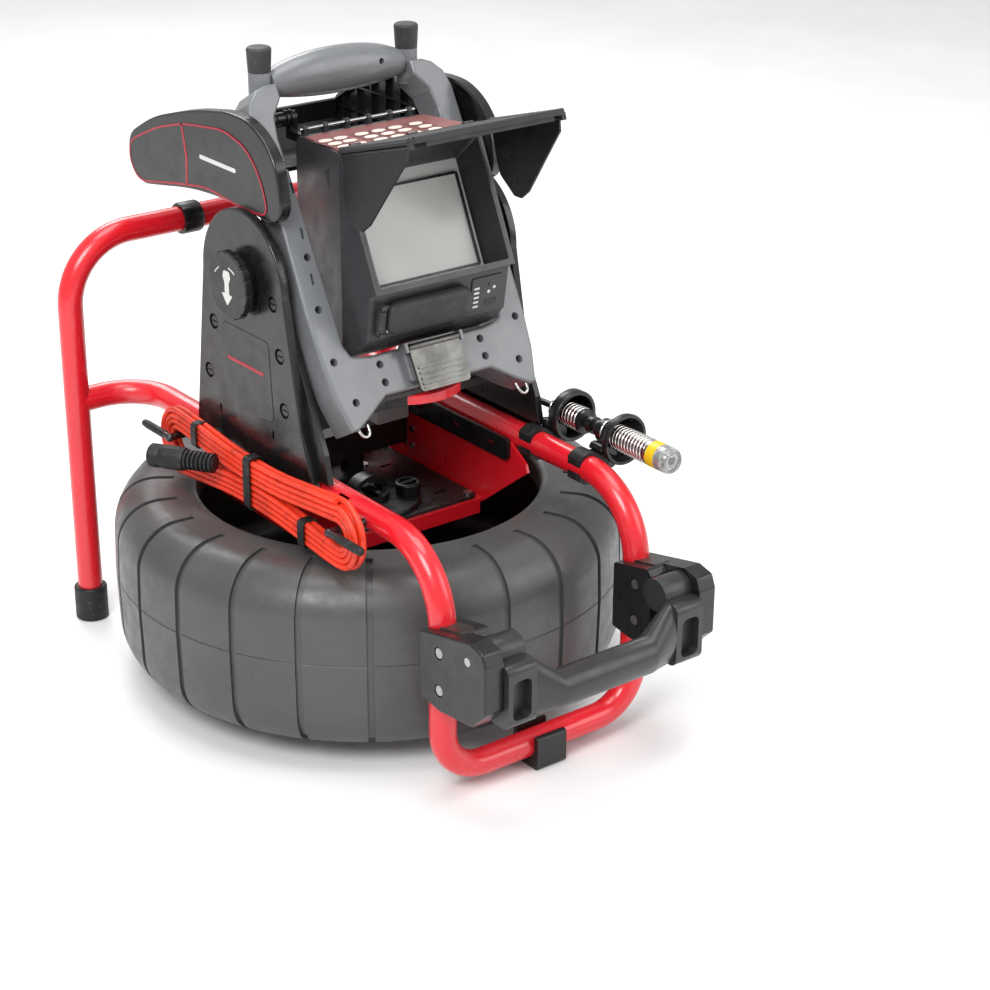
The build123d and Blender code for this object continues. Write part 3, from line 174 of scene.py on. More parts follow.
def paint(name, color):
    """Glossy powder coat with a faint orange-peel skin and dust in it."""
    g = Graph(name)
    cloud = g.spread(g.noise(7, 3), 0, 1)
    fleck = g.spread(g.noise(700, 2), 0, 1, 0.62, 0.75)
    base = g.mix(cloud, shade(color, 0.93), shade(color, 1.06))
    g.put("Base Color", g.mix(fleck, base, shade(color, 1.25)))
    g.put("Roughness", g.spread(g.noise(35, 5, 0.6), 0.24, 0.36))
    g.put("Coat Weight", 0.5)
    g.put("Coat Roughness", 0.12)
    g.bump(g.noise(170, 2, 0.4), 0.22, 0.0003)
    return g.mat


def rubber(name, color, rough=0.7):
    g = Graph(name)
    cloud = g.spread(g.noise(24, 4), 0, 1)
    dust = g.spread(g.noise(150, 4, 0.7), 0, 1, 0.56, 0.75)
    base = g.mix(cloud, shade(color, 0.85), shade(color, 1.15))
    g.put("Base Color", g.mix(dust, base, tuple(c * 0.7 + 0.05 for c in color)))
    g.put("Roughness", g.spread(g.noise(80, 4), rough - 0.08, rough + 0.08))
    g.put("Specular IOR Level", 0.35)
    g.bump(g.noise(1300, 2), 0.4, 0.0001)
    return g.mat


def steel(name, color, rough=0.28, stretch=(1, 1, 14)):
    g = Graph(name)
    brushed = g.noise(420, 3, 0.6, stretch)
    g.put("Base Color", g.mix(g.spread(brushed, 0, 1), shade(color, 0.82), shade(color, 1.08)))
    g.put("Metallic", 1.0)
    g.put("Roughness", g.spread(g.noise(50, 5, 0.7), rough - 0.08, rough + 0.12))
    g.bump(brushed, 0.15, 0.0001)
    return g.mat


def jacket(name, color, rough=0.42):
    """Cable jacket: soft shine, scuffs and slight dirt along it."""
    g = Graph(name)
    dirt = g.spread(g.noise(55, 5, 0.65), 0, 1, 0.5, 0.72)
    base = g.mix(g.spread(g.noise(18, 3), 0, 1), shade(color, 0.86), shade(color, 1.12))
    g.put("Base Color", g.mix(dirt, base, shade(color, 0.62)))
    g.put("Roughness", g.spread(g.noise(90, 4), rough - 0.08, rough + 0.1))
    g.bump(g.noise(500, 3), 0.25, 0.00015)
    return g.mat


M = {
    "red": paint("red_powder_coat", (0.70, 0.010, 0.020)),
    "drum": plastic("drum_charcoal", (0.060, 0.061, 0.061), 0.38, 620, vary=0.14),
    "plate": plastic("plate_black", (0.0085, 0.0085, 0.009), 0.25, 620, 0.00006, 0.1),
    "clamp": plastic("clamp_black", (0.009, 0.009, 0.0095), 0.30, 620, 0.00008, 0.1),
    "grip": plastic("grip_grey", (0.021, 0.022, 0.023), 0.36, 620, 0.0001, 0.1),
    "silver": plastic("frame_grey", (0.150, 0.156, 0.164), 0.29, 700, 0.0001, 0.25, 0.06),
    "case": plastic("case_charcoal", (0.026, 0.027, 0.030), 0.32, 620),
    "hood": plastic("hood_charcoal", (0.016, 0.016, 0.017), 0.56, 620),
    "dark": plastic("dark_plastic", (0.0065, 0.0065, 0.007), 0.32, 620),
    "black": plastic("base_black", (0.008, 0.008, 0.009), 0.30, 620),
    "pale": plastic("pale_block", (0.42, 0.42, 0.42), 0.5, 620),
    "label": plastic("label_sheet", (0.028, 0.029, 0.029), 0.36, 900, 0.00004),
    "print": plastic("pale_print", (0.62, 0.62, 0.60), 0.4, 900, 0.00004, vary=0.04),
    "stripe": plastic("red_stripe", (0.36, 0.012, 0.030), 0.35, 900, 0.00004, vary=0.05),
    "rubber": rubber("black_rubber", (0.012, 0.012, 0.0125), 0.5),
    "cover": rubber("cover_rubber", (0.030, 0.030, 0.031), 0.52),
    "cap": rubber("cap_rubber", (0.036, 0.036, 0.037), 0.55),
    "panel": plastic("key_panel", (0.21, 0.075, 0.070), 0.42, 500),
    "steel": steel("brushed_steel", (0.50, 0.49, 0.48)),
    "dark_steel": steel("dark_steel", (0.09, 0.09, 0.095), 0.35),
    "spring": steel("spring_steel", (0.72, 0.70, 0.68), 0.2),
    "latch": steel("latch_steel", (0.17, 0.166, 0.155), 0.4, (1, 14, 1)),
    "orange": jacket("orange_jacket", (0.78, 0.040, 0.012)),
    "black_jacket": jacket("black_jacket", (0.014, 0.014, 0.016), 0.4),
    "yellow": plastic("yellow_band", (0.72, 0.47, 0.01), 0.35, 500),
}


def lcd_material():
    """A switched-off display seen through its matt cover: pale, with fine columns of dots."""
    g = Graph("display_sheet")
    cloud = g.spread(g.noise(6, 3), 0, 1)
    g.put("Base Color", g.mix(cloud, (0.50, 0.50, 0.48), (0.58, 0.58, 0.56)))
    g.put("Roughness", g.spread(g.noise(60, 4), 0.38, 0.5))
    g.bump(g.noise(2600, 1), 0.1, 0.00005)
    return g.mat


M["lcd"] = lcd_material()


def glass_material(name, tint, rough, clear):
    """A clear or lightly matt window with faint smears."""
    g = Graph(name)
    g.put("Base Color", g.mix(g.spread(g.noise(12, 4), 0, 1), shade(tint, 0.93), tint))
    g.put("Roughness", g.spread(g.noise(45, 5, 0.7), rough, rough + 0.1))
    g.put("Transmission Weight", clear)
    g.put("IOR", 1.45)
    return g.mat


M["window"] = glass_material("window_sheet", (0.58, 0.58, 0.56), 0.16, 0.0)
M["lens"] = glass_material("lens_window", (0.93, 0.95, 0.95), 0.02, 0.85)


def key_material():
    """Soft key mats: pale raised key tops over a dark pink web, split by height above the sloping deck."""
    g = Graph("key_mat_two_tone")
    apart = g.nodes.new("ShaderNodeSeparateXYZ")
    g.links.new(g.coords.outputs["Object"], apart.inputs["Vector"])
    slope = g.nodes.new("ShaderNodeMath")
    slope.operation = "MULTIPLY_ADD"
    slope.inputs[1].default_value = 0.0491
    g.links.new(apart.outputs["Y"], slope.inputs[0])
    g.links.new(apart.outputs["Z"], slope.inputs[2])
    level = g.spread(slope.outputs[0], 0, 1, KEY_LEVEL, KEY_LEVEL + 0.0003)
    cloud = g.spread(g.noise(40, 3), 0, 1)
    tops = g.mix(cloud, (0.70, 0.53, 0.46), (0.80, 0.66, 0.58))
    g.put("Base Color", g.mix(level, (0.13, 0.045, 0.042), tops))
    g.put("Roughness", g.spread(g.noise(80, 4), 0.38, 0.5))
    g.bump(g.noise(1300, 2), 0.3, 0.00008)
    return g.mat


KEY_LEVEL = 0.54502 - 0.0491 * 0.07387 + 0.0022
M["keys"] = key_material()

FINISH = {
    "red": ["front_frame_tube", "rear_loop_tube", "dock_tray", "carriage_lip"],
    "drum": ["drum_upper_shell", "drum_lower_shell"],
    "plate": ["side_plate_left", "side_plate_right", "rear_shell_left", "rear_shell_right"],
    "clamp": ["handle_clamp_left", "handle_clamp_right", "front_foot_pad"],
    "grip": ["handle_grip"],
    "silver": ["monitor_frame", "latch_boss"],
    "case": ["display_case", "display_bezel"],
    "hood": ["sun_visor"],
    "dark": ["hood_flap_left", "hood_flap_right", "plate_liners", "drum_lock_lever", "hub_knob",
             "tilt_lock_knob", "dock_crossbar", "dock_carriage", "slot_strips", "storage_bin",
             "guide_rings", "drum_hub", "deck_connector"],
    "black": ["tray_base_plate"],
    "pale": ["rest_blocks"],
    "rubber": ["rear_feet", "parking_clips", "hank_connector"],
    "cover": ["port_cover"],
    "cap": ["post_caps"],
    "panel": ["keypad_frame"],
    "keys": ["key_mat_left", "key_mat_middle", "key_mat_right"],
    "steel": ["drum_axle", "tray_screws", "pivot_pins", "clamp_screws", "handle_pins", "deck_hinge_rod",
              "cable_end_spring", "camera_spring", "camera_head"],
    "latch": ["dock_latch"],
    "dark_steel": ["plate_bolts", "cable_hooks"],
    "window": ["screen_window"],
    "lcd": ["lcd_panel"],
    "orange": ["cable_hank"],
    "black_jacket": ["push_cable_tail", "push_cable_coil"],
}


def finish_with(obj, mat):
    if not obj.material_slots:
        obj.data.materials.append(mat)
    for entry in obj.material_slots:
        entry.material = mat


for key, names in FINISH.items():
    for node in names:
        finish_with(NODES[node], M[key])

# moulded corners: the plain edges of these nodes are rounded
ROUNDED = {
    "handle_clamp_left": 2.2, "handle_clamp_right": 2.2, "handle_grip": 3.0, "front_foot_pad": 1.5,
    "display_case": 2.5, "side_plate_left": 1.2, "side_plate_right": 1.2, "sun_visor": 1.0,
    "dock_latch": 0.8, "latch_boss": 1.0, "rest_blocks": 1.5, "dock_crossbar": 1.2, "monitor_frame": 1.2,
    "hub_knob": 0.8, "plate_liners": 1.0, "storage_bin": 0.8, "dock_carriage": 1.0, "post_caps": 2.6,
}
for node, width in ROUNDED.items():
    weld = NODES[node].modifiers.new("weld", "WELD")
    weld.merge_threshold = 0.00002
    bevel = NODES[node].modifiers.new("round", "BEVEL")
    bevel.width = width * MM
    bevel.segments = 3
    bevel.limit_method = "ANGLE"
    bevel.angle_limit = radians(40)
    bevel.harden_normals = True

# ---------------------------------------------------------------- pale floor
bpy.ops.mesh.primitive_plane_add(size=14, location=(0, 0, 0))
floor = bpy.context.object
floor.name = "pale_floor"
g = Graph("floor_white")
g.put("Base Color", g.mix(g.spread(g.noise(3, 3), 0, 1), (0.86, 0.86, 0.86), (0.9, 0.9, 0.9)))
g.put("Roughness", g.spread(g.noise(12, 4), 0.5, 0.65))
floor.data.materials.append(g.mat)


# ---------------------------------------------------------------- curve helpers
def smooth_curve(name, points, radius, mat, resolution=10, cyclic=False):
    """A round cord or rod along a smooth line through the pull of its points, in mm."""
    data = bpy.data.curves.new(name, "CURVE")
    data.dimensions = "3D"
    data.bevel_depth = radius * MM
    data.bevel_resolution = 6
    data.resolution_u = resolution
    data.use_fill_caps = True
    spline = data.splines.new("NURBS")
    spline.points.add(len(points) - 1)
    for spot, point in zip(spline.points, points):
        spot.co = (*mm(*point), 1)
    spline.order_u = 3
    if cyclic:
        spline.use_cyclic_u = True
    else:
        spline.use_endpoint_u = True
    data.materials.append(mat)
    return link(bpy.data.objects.new(name, data))


def curve_length(obj):
    """The length of a curve's own line, in metres."""
    copy = obj.copy()
    copy.data = obj.data.copy()
    copy.data.bevel_depth = 0
    copy.data.use_fill_caps = False
    link(copy)
    mesh = bpy.data.meshes.new_from_object(copy.evaluated_get(bpy.context.evaluated_depsgraph_get()))
    total = sum(
        (mesh.vertices[e.vertices[0]].co - mesh.vertices[e.vertices[1]].co).length for e in mesh.edges
    )
    bpy.data.objects.remove(copy)
    return total


# ---------------------------------------------------------------- trim helpers
def mesh_piece(name, verts, faces, mat, body, smooth=False):
    """A mesh from points in metres, riding a body and taking its finish from a slot."""
    data = bpy.data.meshes.new(name)
    data.from_pydata([tuple(v) for v in verts], [], faces)
    data.materials.append(mat)
    for poly in data.polygons:
        poly.use_smooth = smooth
    bm = bmesh.new()
    bm.from_mesh(data)
    bmesh.ops.recalc_face_normals(bm, faces=bm.faces)
    bm.to_mesh(data)
    bm.free()
    obj = link(bpy.data.objects.new(name, data))
    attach(obj, body)
    return obj


def rounded(points, radius, steps=6):
    """A closed outline with each corner turned into a smooth curve."""
    out = []
    count = len(points)
    for i, here in enumerate(points):
        here = Vector(here)
        before = Vector(points[i - 1]) - here
        after = Vector(points[(i + 1) % count]) - here
        start = here + before.normalized() * min(radius, before.length * 0.48)
        end = here + after.normalized() * min(radius, after.length * 0.48)
        for k in range(steps + 1):
            t = k / steps
            out.append(start * (1 - t) ** 2 + here * 2 * t * (1 - t) + end * t * t)
    return out


class Sheet:
    """A plane in the row frame, with its own across, up and out directions, in mm."""

    def __init__(self, origin, across, upward):
        self.origin = Vector(origin)
        self.x = Vector(across).normalized()
        self.y = Vector(upward).normalized()
        self.z = self.x.cross(self.y)

    def at(self, x, y, z=0.0):
        return (self.origin + self.x * x + self.y * y + self.z * z) * MM


def slab(name, sheet, outline, low, high, mat, body, edge=0.5):
    """A flat piece between two heights off a sheet, its top edge softened by a small chamfer."""
    count = len(outline)
    middle = sum((Vector(p) for p in outline), Vector((0, 0))) / count
    verts = []
    for height, inset in ((low, 0.0), (high - edge, 0.0), (high, edge)):
        for p in outline:
            p = Vector(p)
            inward = (middle - p).normalized() * inset
            verts.append(sheet.at(p.x + inward.x, p.y + inward.y, height))
    faces = [list(range(count))[::-1], list(range(2 * count, 3 * count))]
    for ring in range(2):
        for i in range(count):
            j = (i + 1) % count
            faces.append([ring * count + i, ring * count + j, (ring + 1) * count + j, (ring + 1) * count + i])
    return mesh_piece(name, verts, faces, mat, body)


def ribbon(name, sheet, outline, width, low, high, mat, body):
    """A raised stripe of even width that follows the inside of a closed outline."""
    count = len(outline)
    inner = []
    for i in range(count):
        run = (Vector(outline[(i + 1) % count]) - Vector(outline[i - 1])).normalized()
        inner.append(Vector(outline[i]) + Vector((-run.y, run.x)) * width)
    verts = []
    for loop, height in ((outline, low), (outline, high), (inner, high), (inner, low)):
        verts += [sheet.at(p[0], p[1], height) for p in loop]
    faces = []
    for ring in range(4):
        other = (ring + 1) % 4
        for i in range(count):
            j = (i + 1) % count
            faces.append([ring * count + i, ring * count + j, other * count + j, other * count + i])
    return mesh_piece(name, verts, faces, mat, body)


def turned(name, origin, axis, profile, mat, body, steps=56):
    """A turned piece: profile is (radius, distance along the axis) in mm, from end to end."""
    axis = Vector(axis).normalized()
    side = axis.orthogonal().normalized()
    other = axis.cross(side)
    verts, faces = [], []
    for radius, along in profile:
        for k in range(steps):
            a = 2 * pi * k / steps
            spot = Vector(origin) + axis * along + (side * cos(a) + other * sin(a)) * max(radius, 0.02)
            verts.append(spot * MM)
    rows = len(profile)
    for row in range(rows - 1):
        for k in range(steps):
            j = (k + 1) % steps
            faces.append([row * steps + k, row * steps + j, (row + 1) * steps + j, (row + 1) * steps + k])
    faces.append(list(range(steps))[::-1])
    faces.append([(rows - 1) * steps + k for k in range(steps)])
    obj = mesh_piece(name, verts, faces, mat, body, True)
    obj.data.set_sharp_from_angle(angle=radians(38))
    return obj


def wire(name, points, radius, mat, body, cyclic=False):
    """A bent rod or bead through its points, in mm."""
    obj = smooth_curve(name, points, radius, mat, cyclic=cyclic)
    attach(obj, body)
    return obj


def helix(name, start_y, end_y, radius, thick, pitch, mat, node):
    """A coil spring about the parked camera's own line."""
    turns = (start_y - end_y - 2 * thick) / pitch
    count = int(turns * 14)
    points = []
    for k in range(count + 1):
        a = 2 * pi * turns * k / count
        y = start_y - thick - (start_y - end_y - 2 * thick) * k / count
        points.append((PARK_X + radius * 1.03 * cos(a), y, PARK_Z + radius * 1.03 * sin(a)))
    obj = wire(name, points, thick, mat, "frame")
    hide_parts(node)
    return obj


def pillow(name, sheet, box, corner, rings, mat, body):
    """A soft moulded block: rings of (inset, height) climb from its foot to its crown."""
    left, foot, right, head = box
    verts, faces = [], []
    for inset, height in rings:
        outline = rounded([(left + inset, foot + inset), (right - inset, foot + inset),
                           (right - inset, head - inset), (left + inset, head - inset)],
                          max(corner - inset, 2.5))
        verts += [sheet.at(p.x, p.y, height) for p in outline]
    count = len(verts) // len(rings)
    for ring in range(len(rings) - 1):
        for i in range(count):
            j = (i + 1) % count
            faces.append([ring * count + i, ring * count + j, (ring + 1) * count + j, (ring + 1) * count + i])
    faces.append(list(range(count))[::-1])
    faces.append(list(range((len(rings) - 1) * count, len(rings) * count)))
    return mesh_piece(name, verts, faces, mat, body, True)


# ---------------------------------------------------------------- label panels and stripes
SHELL_PANEL = [(214, 503), (160, 527), (110, 541), (40, 550), (2, 541), (-20, 518), (-32, 484), (10, 482),
               (75, 487), (140, 476), (200, 464), (217, 482)]
PLATE_PANEL = [(44, 370), (-36, 370), (-41, 294), (54, 286)]
PANEL_STRIPE = [(34, 338), (-27, 338), (-27, 334.5), (34, 334.5)]
for name, side in (("left", -1), ("right", 1)):
    face = Sheet((side * 124.2, 0, 0), (0, side, 0), (0, 0, 1))
    outline = [(side * y, z) for y, z in rounded(SHELL_PANEL, 16)]
    slab(f"shell_label_{name}", face, outline, -0.2, 0.5, M["label"], "monitor", 0.2)
    loop = outline[::-1] if side < 0 else outline
    ribbon(f"shell_stripe_{name}", face, loop, 1.8, 0.1, 0.8, M["stripe"], "monitor")
    divide = [(side * y, z) for y, z in ((113, 540), (106, 508), (108, 482), (111, 482), (109.4, 508),
                                         (116, 539))]
    slab(f"shell_divider_{name}", face, divide, 0.4, 0.8, M["stripe"], "monitor", 0.1)
    bar = [(side * y, z) for y, z in ((84, 517), (22, 517), (22, 513), (84, 513))]
    slab(f"shell_mark_{name}", face, rounded(bar, 1.5), 0.4, 0.8, M["print"], "monitor", 0.1)
    plate = Sheet((side * 133, 0, 0), (0, side, 0), (0, 0, 1))
    panel = rounded([(side * y, z) for y, z in PLATE_PANEL], 7)
    slab(f"plate_label_{name}", plate, panel, -0.2, 0.6, M["label"], "frame", 0.3)
    mark = rounded([(side * y, z) for y, z in PANEL_STRIPE], 1.2)
    slab(f"plate_mark_{name}", plate, mark, 0.5, 0.9, M["stripe"], "frame", 0.1)

# an arrow on the tilt lock knob
knob_face = Sheet((-148.4, 6, 416), (0, -1, 0), (0, 0, 1))
arrow = [(-4.5, 14), (4.5, 14), (6.5, 8), (3.5, 3), (3.5, -8), (9, -8), (0, -19), (-9, -8), (-3.5, -8),
         (-3.5, 3), (-6.5, 8)]
slab("knob_arrow", knob_face, rounded(arrow, 1.6), -0.2, 0.5, M["print"], "tilt_knob", 0.1)
for start in (0.55, 1.75):
    ring = [(-23 * cos(start + 0.09 * k), 4 + 20 * sin(start + 0.09 * k) - 6) for k in range(6)]
    wire(f"knob_mark_{start}", [tuple((knob_face.at(x, y, 0.1) / MM)) for x, y in ring], 0.6, M["print"],
         "tilt_knob")

# ---------------------------------------------------------------- display: visor edges, screen lip, status
LEAN, SCREEN_LEAN, RISE = radians(29.2), radians(25.2), radians(16.5)
screen = Sheet((0, -128.8, 428.3), (1, 0, 0), (0, sin(SCREEN_LEAN), cos(SCREEN_LEAN)))
lip = rounded([(-74.5, 3), (74.5, 3), (74.5, 124), (-74.5, 124)], 5)
ribbon("screen_lip", screen, lip, 2.6, -1.0, 0.3, M["case"], "monitor")
inner = rounded([(-58.5, 8), (58.5, 8), (58.5, 96), (-58.5, 96)], 3)
ribbon("screen_gasket", screen, inner, 2.2, -26.8, -25.0, M["dark"], "monitor")
HOOD_Y, HOOD_Z = -77.5, 548.6
visor = Sheet((0, HOOD_Y, HOOD_Z), (1, 0, 0), (0, -cos(RISE), sin(RISE)))
for side in (-1, 1):
    rail = [(side * 82.6, 8), (side * 82.6, 60), (side * 82.6, 114)]
    wire(f"visor_rail_{side}", [tuple(visor.at(x, y, -1.2) / MM) for x, y in rail], 2.2, M["case"], "visor")
front = [(-80, 117), (0, 117.4), (80, 117)]
wire("visor_front_bead", [tuple(visor.at(x, y, -1.0) / MM) for x, y in front], 2.8, M["case"], "visor")
for x in (-34, 0, 34):
    rib = rounded([(x - 1.2, 14), (x + 1.2, 14), (x + 1.2, 108), (x - 1.2, 108)], 1)
    slab(f"visor_rib_{x}", visor, rib, 1.4, 2.3, M["case"], "visor", 0.4)
CHIN = atan2(7, 43)
chin = Sheet((0, -112, 381), (1, 0, 0), (0, -sin(CHIN), cos(CHIN)))
status = rounded([(36, 3), (71, 3), (71, 38), (36, 38)], 3)
slab("status_panel", chin, status, -0.2, 1.2, M["label"], "monitor", 0.5)
for k in range(5):
    dash = [(39, 8 + 4.6 * k), (45, 8 + 4.6 * k), (45, 10 + 4.6 * k), (39, 10 + 4.6 * k)]
    slab(f"status_dash_{k}", chin, dash, 1.0, 1.5, M["print"], "monitor", 0.1)
for k, (x, y) in enumerate(((56, 29), (56, 22), (62, 25.5))):
    turned(f"status_dot_{k}", tuple(chin.at(x, y, 1.0) / MM), chin.z, [(1.6, 0), (1.6, 0.5), (1.1, 0.7)],
           M["print"] if k else M["dark"], "monitor", 20)
slab("usb_port", chin, rounded([(52, 8), (66, 8), (66, 14), (52, 14)], 1), 1.0, 1.6, M["dark"], "monitor",
     0.2)

# ---------------------------------------------------------------- soft port cover with its screwed ear
PILLOW = [(1.6, 0.5), (0.5, 1.6), (0, 3.4), (0, 6.2), (0.7, 8.2), (2.2, 9.9), (4.4, 11.1), (7.5, 11.8),
          (12, 12.1)]
cover = pillow("port_cover_pillow", chin, (-61, 4, 32, 36), 12, PILLOW, M["cover"], "cover")
ear = rounded([(-69, 3), (-52, 3), (-50, 22), (-60, 36), (-69, 30)], 4)
ear_plate = slab("port_cover_ear", chin, ear, 0.5, 4.6, M["cover"], "cover", 1.0)
barrel_foot = tuple(chin.at(-66, 10, 5.2) / MM)
barrel = turned("port_cover_barrel", barrel_foot, chin.y,
                [(2.6, 0), (3.4, 0.6), (3.4, 19.4), (2.6, 20)], M["cover"], "cover", 24)
screw = turned("port_cover_screw", tuple(chin.at(-58, 9, 4.2) / MM), chin.z,
               [(2.6, 0), (2.6, 1.0), (2.0, 1.6), (1.0, 1.7), (0.9, 1.1)], M["steel"], "cover", 24)
for piece in (cover, ear_plate, barrel, screw):
    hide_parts("port_cover")

# ---------------------------------------------------------------- thin deck rod held in clips
ROD_Y, ROD_Z = 9.0, 546.0
rod = wire("deck_rod", [(-64, ROD_Y, ROD_Z), (0, ROD_Y, ROD_Z), (64, ROD_Y, ROD_Z)], 1.5, M["steel"],
           "monitor")
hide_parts("deck_hinge_rod")
for x in (-58, -36, -12, 12, 36, 58):
    foot = Sheet((x, ROD_Y, 541), (1, 0, 0), (0, 1, 0))
    post = slab(f"deck_clip_foot_{x}", foot, rounded([(-2.4, -3.2), (2.4, -3.2), (2.4, 3.2), (-2.4, 3.2)], 1),
                -1.5, 5.5, M["case"], "monitor", 0.6)
    collar = turned(f"deck_clip_{x}", (x - 2.4, ROD_Y, ROD_Z), (1, 0, 0),
                    [(2.4, 0), (3.2, 0.5), (3.2, 4.3), (2.4, 4.8)], M["case"], "monitor", 24)
    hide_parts("deck_hinge_rod")
    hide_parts("deck_hinge_rod")

# ---------------------------------------------------------------- latch ribs, loops, rear knob and saddle
frame_face = Sheet((0, -124.8, 313), (1, 0, 0), (0, sin(LEAN), cos(LEAN)))
for k, up in enumerate((32, 27, 22, 17)):
    rib = rounded([(-27, up - 1.3), (23, up - 1.3), (23, up + 1.3), (-27, up + 1.3)], 1.2)
    slab(f"latch_rib_{k}", frame_face, rib, 12.0, 13.9, M["latch"], "latch", 0.7)
for side in (-1, 1):
    loop = [(side * 85, -4, -6), (side * 85, -12, -4), (side * 90.5, -16, -4), (side * 96, -12, -4),
            (side * 96, -4, -6)]
    wire(f"frame_loop_{side}", [tuple(frame_face.at(*p) / MM) for p in loop], 1.5, M["steel"], "monitor")
turned("rear_knob", (-100, 214, 486), (0, 1, 0),
       [(6, 0), (6, 5), (11, 7), (12.5, 10), (12.5, 22), (11, 25), (5, 26)], M["dark"], "monitor")
turned("rear_bar_saddle", (-62, 238.5, 405.5), (1, 0, 0),
       [(12.7, 0), (15.4, 0.4), (16, 2), (16, 20), (15.4, 21.6), (12.7, 22)], M["dark"], "frame")

# ---------------------------------------------------------------- clamp clips on the lift handle
for side in (-1, 1):
    top = Sheet((side * 111.5, -300, 180.5), (1, 0, 0), (0, -1, 0.2))
    clip = rounded([(-9, -26), (9, -26), (9, 6), (-9, 6)], 3)
    slab(f"clamp_clip_{side}", top, clip, -1.0, 2.0, M["latch"], "frame", 0.5)

# ---------------------------------------------------------------- push cable from the drum to the camera
TAIL = [(168, 128, 84), (150, 112, 128), (137, 52, 196), (148, -18, 262), (148, -106, 262)]
tail = smooth_curve("push_cable", TAIL, 3.35, M["black_jacket"])
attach(tail, "frame")
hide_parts("push_cable_tail")
print("push cable", curve_length(tail))


# ---------------------------------------------------------------- parked camera: springs, coupling and head
helix("guide_spring_wire", -106, -150, 11.0, 1.5, 4.6, M["spring"], "cable_end_spring")
helix("camera_spring_wire", -182, -247, 11.0, 1.5, 4.3, M["spring"], "camera_spring")
LINE = (0, -1, 0)
turned("spring_core_rear", (PARK_X, -104, PARK_Z), LINE, [(7, 0), (7.4, 2), (7.4, 44), (7, 46)],
       M["stripe"], "frame")
turned("spring_core_front", (PARK_X, -181, PARK_Z), LINE, [(7, 0), (7.4, 2), (7.4, 63), (7, 65)],
       M["stripe"], "frame")
turned("spring_coupling", (PARK_X, -148, PARK_Z), LINE,
       [(8, 0), (12, 0.6), (12, 5), (6, 7), (6, 10), (8.6, 11), (8.6, 17), (6, 18), (6, 22), (8.6, 23),
        (8.6, 28), (12, 30), (12, 35), (8, 36)], M["dark"], "frame")
head = turned("camera_body", (PARK_X, -245, PARK_Z), LINE,
              [(9, 0), (12.2, 0.8), (12.4, 2), (12.4, 5), (11.8, 6), (11.8, 15), (12, 16)], M["steel"],
              "frame")
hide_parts("camera_head")
turned("camera_band", (PARK_X, -249, PARK_Z), LINE,
       [(11.8, 0), (12.7, 0.6), (12.7, 11), (12, 11.6)], M["yellow"], "frame")
turned("camera_window", (PARK_X, -260, PARK_Z), LINE,
       [(11, 0), (12.5, 0.5), (12.7, 2), (12.7, 11), (12.1, 14), (10.6, 15.6), (9.2, 15.6), (9.2, 14),
        (0, 14)], M["lens"], "frame")
turned("camera_core", (PARK_X, -257, PARK_Z), LINE,
       [(10, 0), (10.2, 2), (10.2, 10), (6.2, 11), (6.2, 15), (4.2, 15.4), (3.4, 13.8),
        (0, 13.8)], M["steel"], "frame")
turned("camera_lens", (PARK_X, -270, PARK_Z), LINE, [(3.4, 0), (3.3, 1), (2.2, 1.9), (0, 2.2)], M["black"],
       "frame", 32)
for k in range(6):
    a = 2 * pi * k / 6
    spot = (PARK_X + 8.2 * cos(a), -267, PARK_Z + 8.2 * sin(a))
    turned(f"camera_light_{k}", spot, LINE, [(1.5, 0), (1.5, 1.6), (1.1, 2.2), (0, 2.5)], M["print"], "frame",
           20)
# guide rings: a thin hoop behind, a flared socket in front
for k, (y, profile) in enumerate((
    (-124, [(21.6, 0), (24.6, 0), (25.4, 1.2), (25.4, 10.8), (24.6, 12), (21.6, 12), (21, 10.8), (21, 1.2)]),
    (-190, [(13.4, 0), (15.6, 0), (17.5, 4), (21, 9), (24.6, 13), (25.2, 18), (24.4, 20), (21.8, 19.4),
            (20, 14), (16, 9), (13.4, 4)]),
)):
    hoop = turned(f"guide_hoop_{k}", (PARK_X, y, PARK_Z), LINE, profile + profile[:1], M["dark"], "frame")
    if k == 0:
        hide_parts("guide_rings")
for clip_y in (-118.0, -192.0):
    foot = Sheet((134.0, clip_y + 9, 0), (1, 0, 0), (0, 0, 1))
    arm = rounded([(-0.5, 233), (9, 233), (11, 240), (11.5, 249), (3, 256), (-6, 258), (-10, 252),
                   (-0.5, 247)], 3)
    slab(f"hoop_foot_{clip_y}", foot, arm, 0, 18, M["dark"], "frame", 1.0)

# ---------------------------------------------------------------- cable hank at the left
HANK_X, HANK_Z, HANK_FRONT, HANK_BACK, HANK_H = -149.0, 234.0, -204.0, 134.0, 70.0
STRAND_R = 2.85
STRAND_PITCH = 5.75
LAYER_X = 3.15
hank_rows = [(row, -LAYER_X) for row in range(4)] + [(row, LAYER_X) for row in reversed(range(4))]


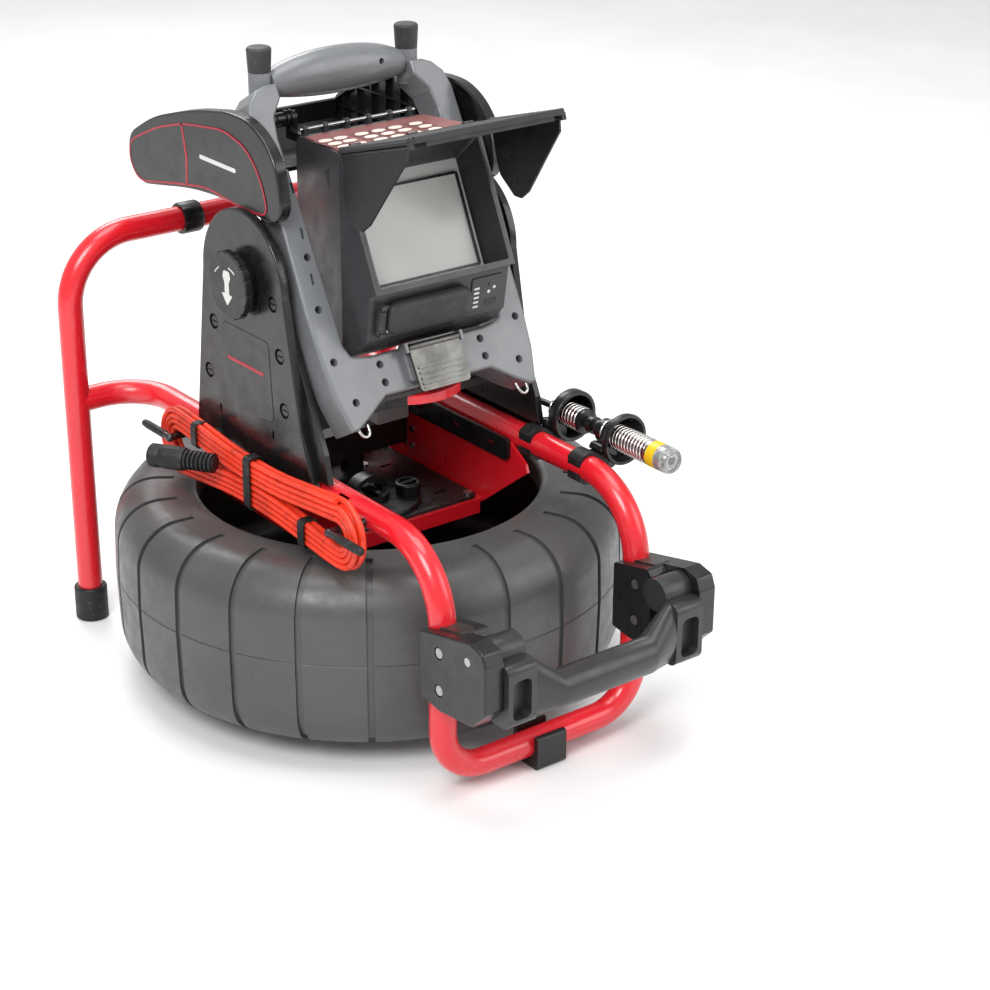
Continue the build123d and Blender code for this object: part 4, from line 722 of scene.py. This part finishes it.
def hank_points():
    """Turns of the hank, drawn in at the middle: along the top to the rear, round, back along the bottom."""
    points = []
    front = HANK_FRONT + HANK_H / 2
    rear = HANK_BACK - HANK_H / 2
    for turn, (row, dx) in enumerate(hank_rows):
        reach = HANK_H / 2 - STRAND_R - 0.4 - STRAND_PITCH * row
        after = hank_rows[min(turn + 1, len(hank_rows) - 1)]
        reach_after = HANK_H / 2 - STRAND_R - 0.4 - STRAND_PITCH * after[0]
        x = HANK_X + dx
        waist = [0.0, 5.0, 10.0, 11.4, 10.0, 5.5]
        stray = 1.1 * sin(2.3 * turn)
        for k, dip in enumerate(waist):
            y = front + (rear - front) * k / len(waist)
            points.append((x, y, HANK_Z + reach - dip + (0.4 * sin(2.1 * turn + k) if k else 0)))
        for step in range(6):
            a = pi / 2 - pi * (step + 0.5) / 6
            points.append((x, rear + (reach * 1.03 - stray) * cos(a), HANK_Z + reach * 1.03 * sin(a)))
        for k, dip in enumerate(waist):
            y = rear - (rear - front) * k / len(waist)
            points.append((x, y, HANK_Z - reach + dip + (0.4 * sin(1.3 * turn + k) if k else 0)))
        for step in range(6):
            part = (step + 0.5) / 6
            a = -pi / 2 - pi * part
            mixed = (reach * (1 - part) + reach_after * part) * 1.035
            shift = x * (1 - part) + (HANK_X + after[1]) * part
            points.append((shift, front + mixed * cos(a), HANK_Z + mixed * sin(a)))
    return points


hank = smooth_curve("system_cable_hank", hank_points(), STRAND_R, M["orange"], resolution=6)
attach(hank, "frame")
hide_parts("cable_hank")
hank_length = curve_length(hank)
print("hank", hank_length)

# straps round the hank, horn sleeves and the plug with its ribbed relief
for k, (y, low, high, width) in enumerate(((70, 240, 263, 9), (-22, 209, 259, 11), (-112, 203, 228, 10))):
    around = rounded([(-7.0, low), (7.0, low), (7.0, high), (-7.0, high)], 4)
    hold = Sheet((HANK_X, y, 0), (1, 0, 0), (0, 0, 1))
    ribbon(f"hank_strap_{k}", hold, around, -1.3, 0, width, M["rubber"], "frame")
for k, (y, way) in enumerate(((-178, -1), (104, 1))):
    turned(f"horn_sleeve_{k}", (-162, y, 239), (0, way, 0),
           [(3.7, 6), (4.1, 7), (4.1, 40), (3.7, 43), (2.4, 44.5)], M["rubber"], "frame", 32)
PLUG_AT = (-200, 72, 241)
plug_way = Vector((35, -60, 2))
plug = turned("hank_plug", PLUG_AT, plug_way,
              [(7, 0), (10, 0.3), (11.3, 1.6), (11.3, 10), (10.6, 11), (10.6, 13), (11.4, 14), (11.4, 35),
               (10.6, 37.6), (8.4, 38.4)], M["rubber"], "frame")
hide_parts("hank_connector")
relief = [(8.4, 38)]
for k in range(7):
    relief += [(9.4, 38.6 + 4.4 * k), (9.4, 40.8 + 4.4 * k), (7.0, 41.3 + 4.4 * k), (7.0, 42.6 + 4.4 * k)]
relief += [(5.0, 69.4)]
turned("hank_relief", PLUG_AT, plug_way, relief, M["rubber"], "frame")
axis = plug_way.normalized()
side = axis.orthogonal().normalized()
for k in range(10):
    a = 2 * pi * k / 10
    out = side * cos(a) + axis.cross(side) * sin(a)
    start = Vector(PLUG_AT) + axis * 15.5 + out * 11.0
    end = Vector(PLUG_AT) + axis * 33.5 + out * 11.0
    wire(f"plug_rib_{k}", [tuple(start), tuple((start + end) / 2), tuple(end)], 0.7, M["rubber"], "frame")
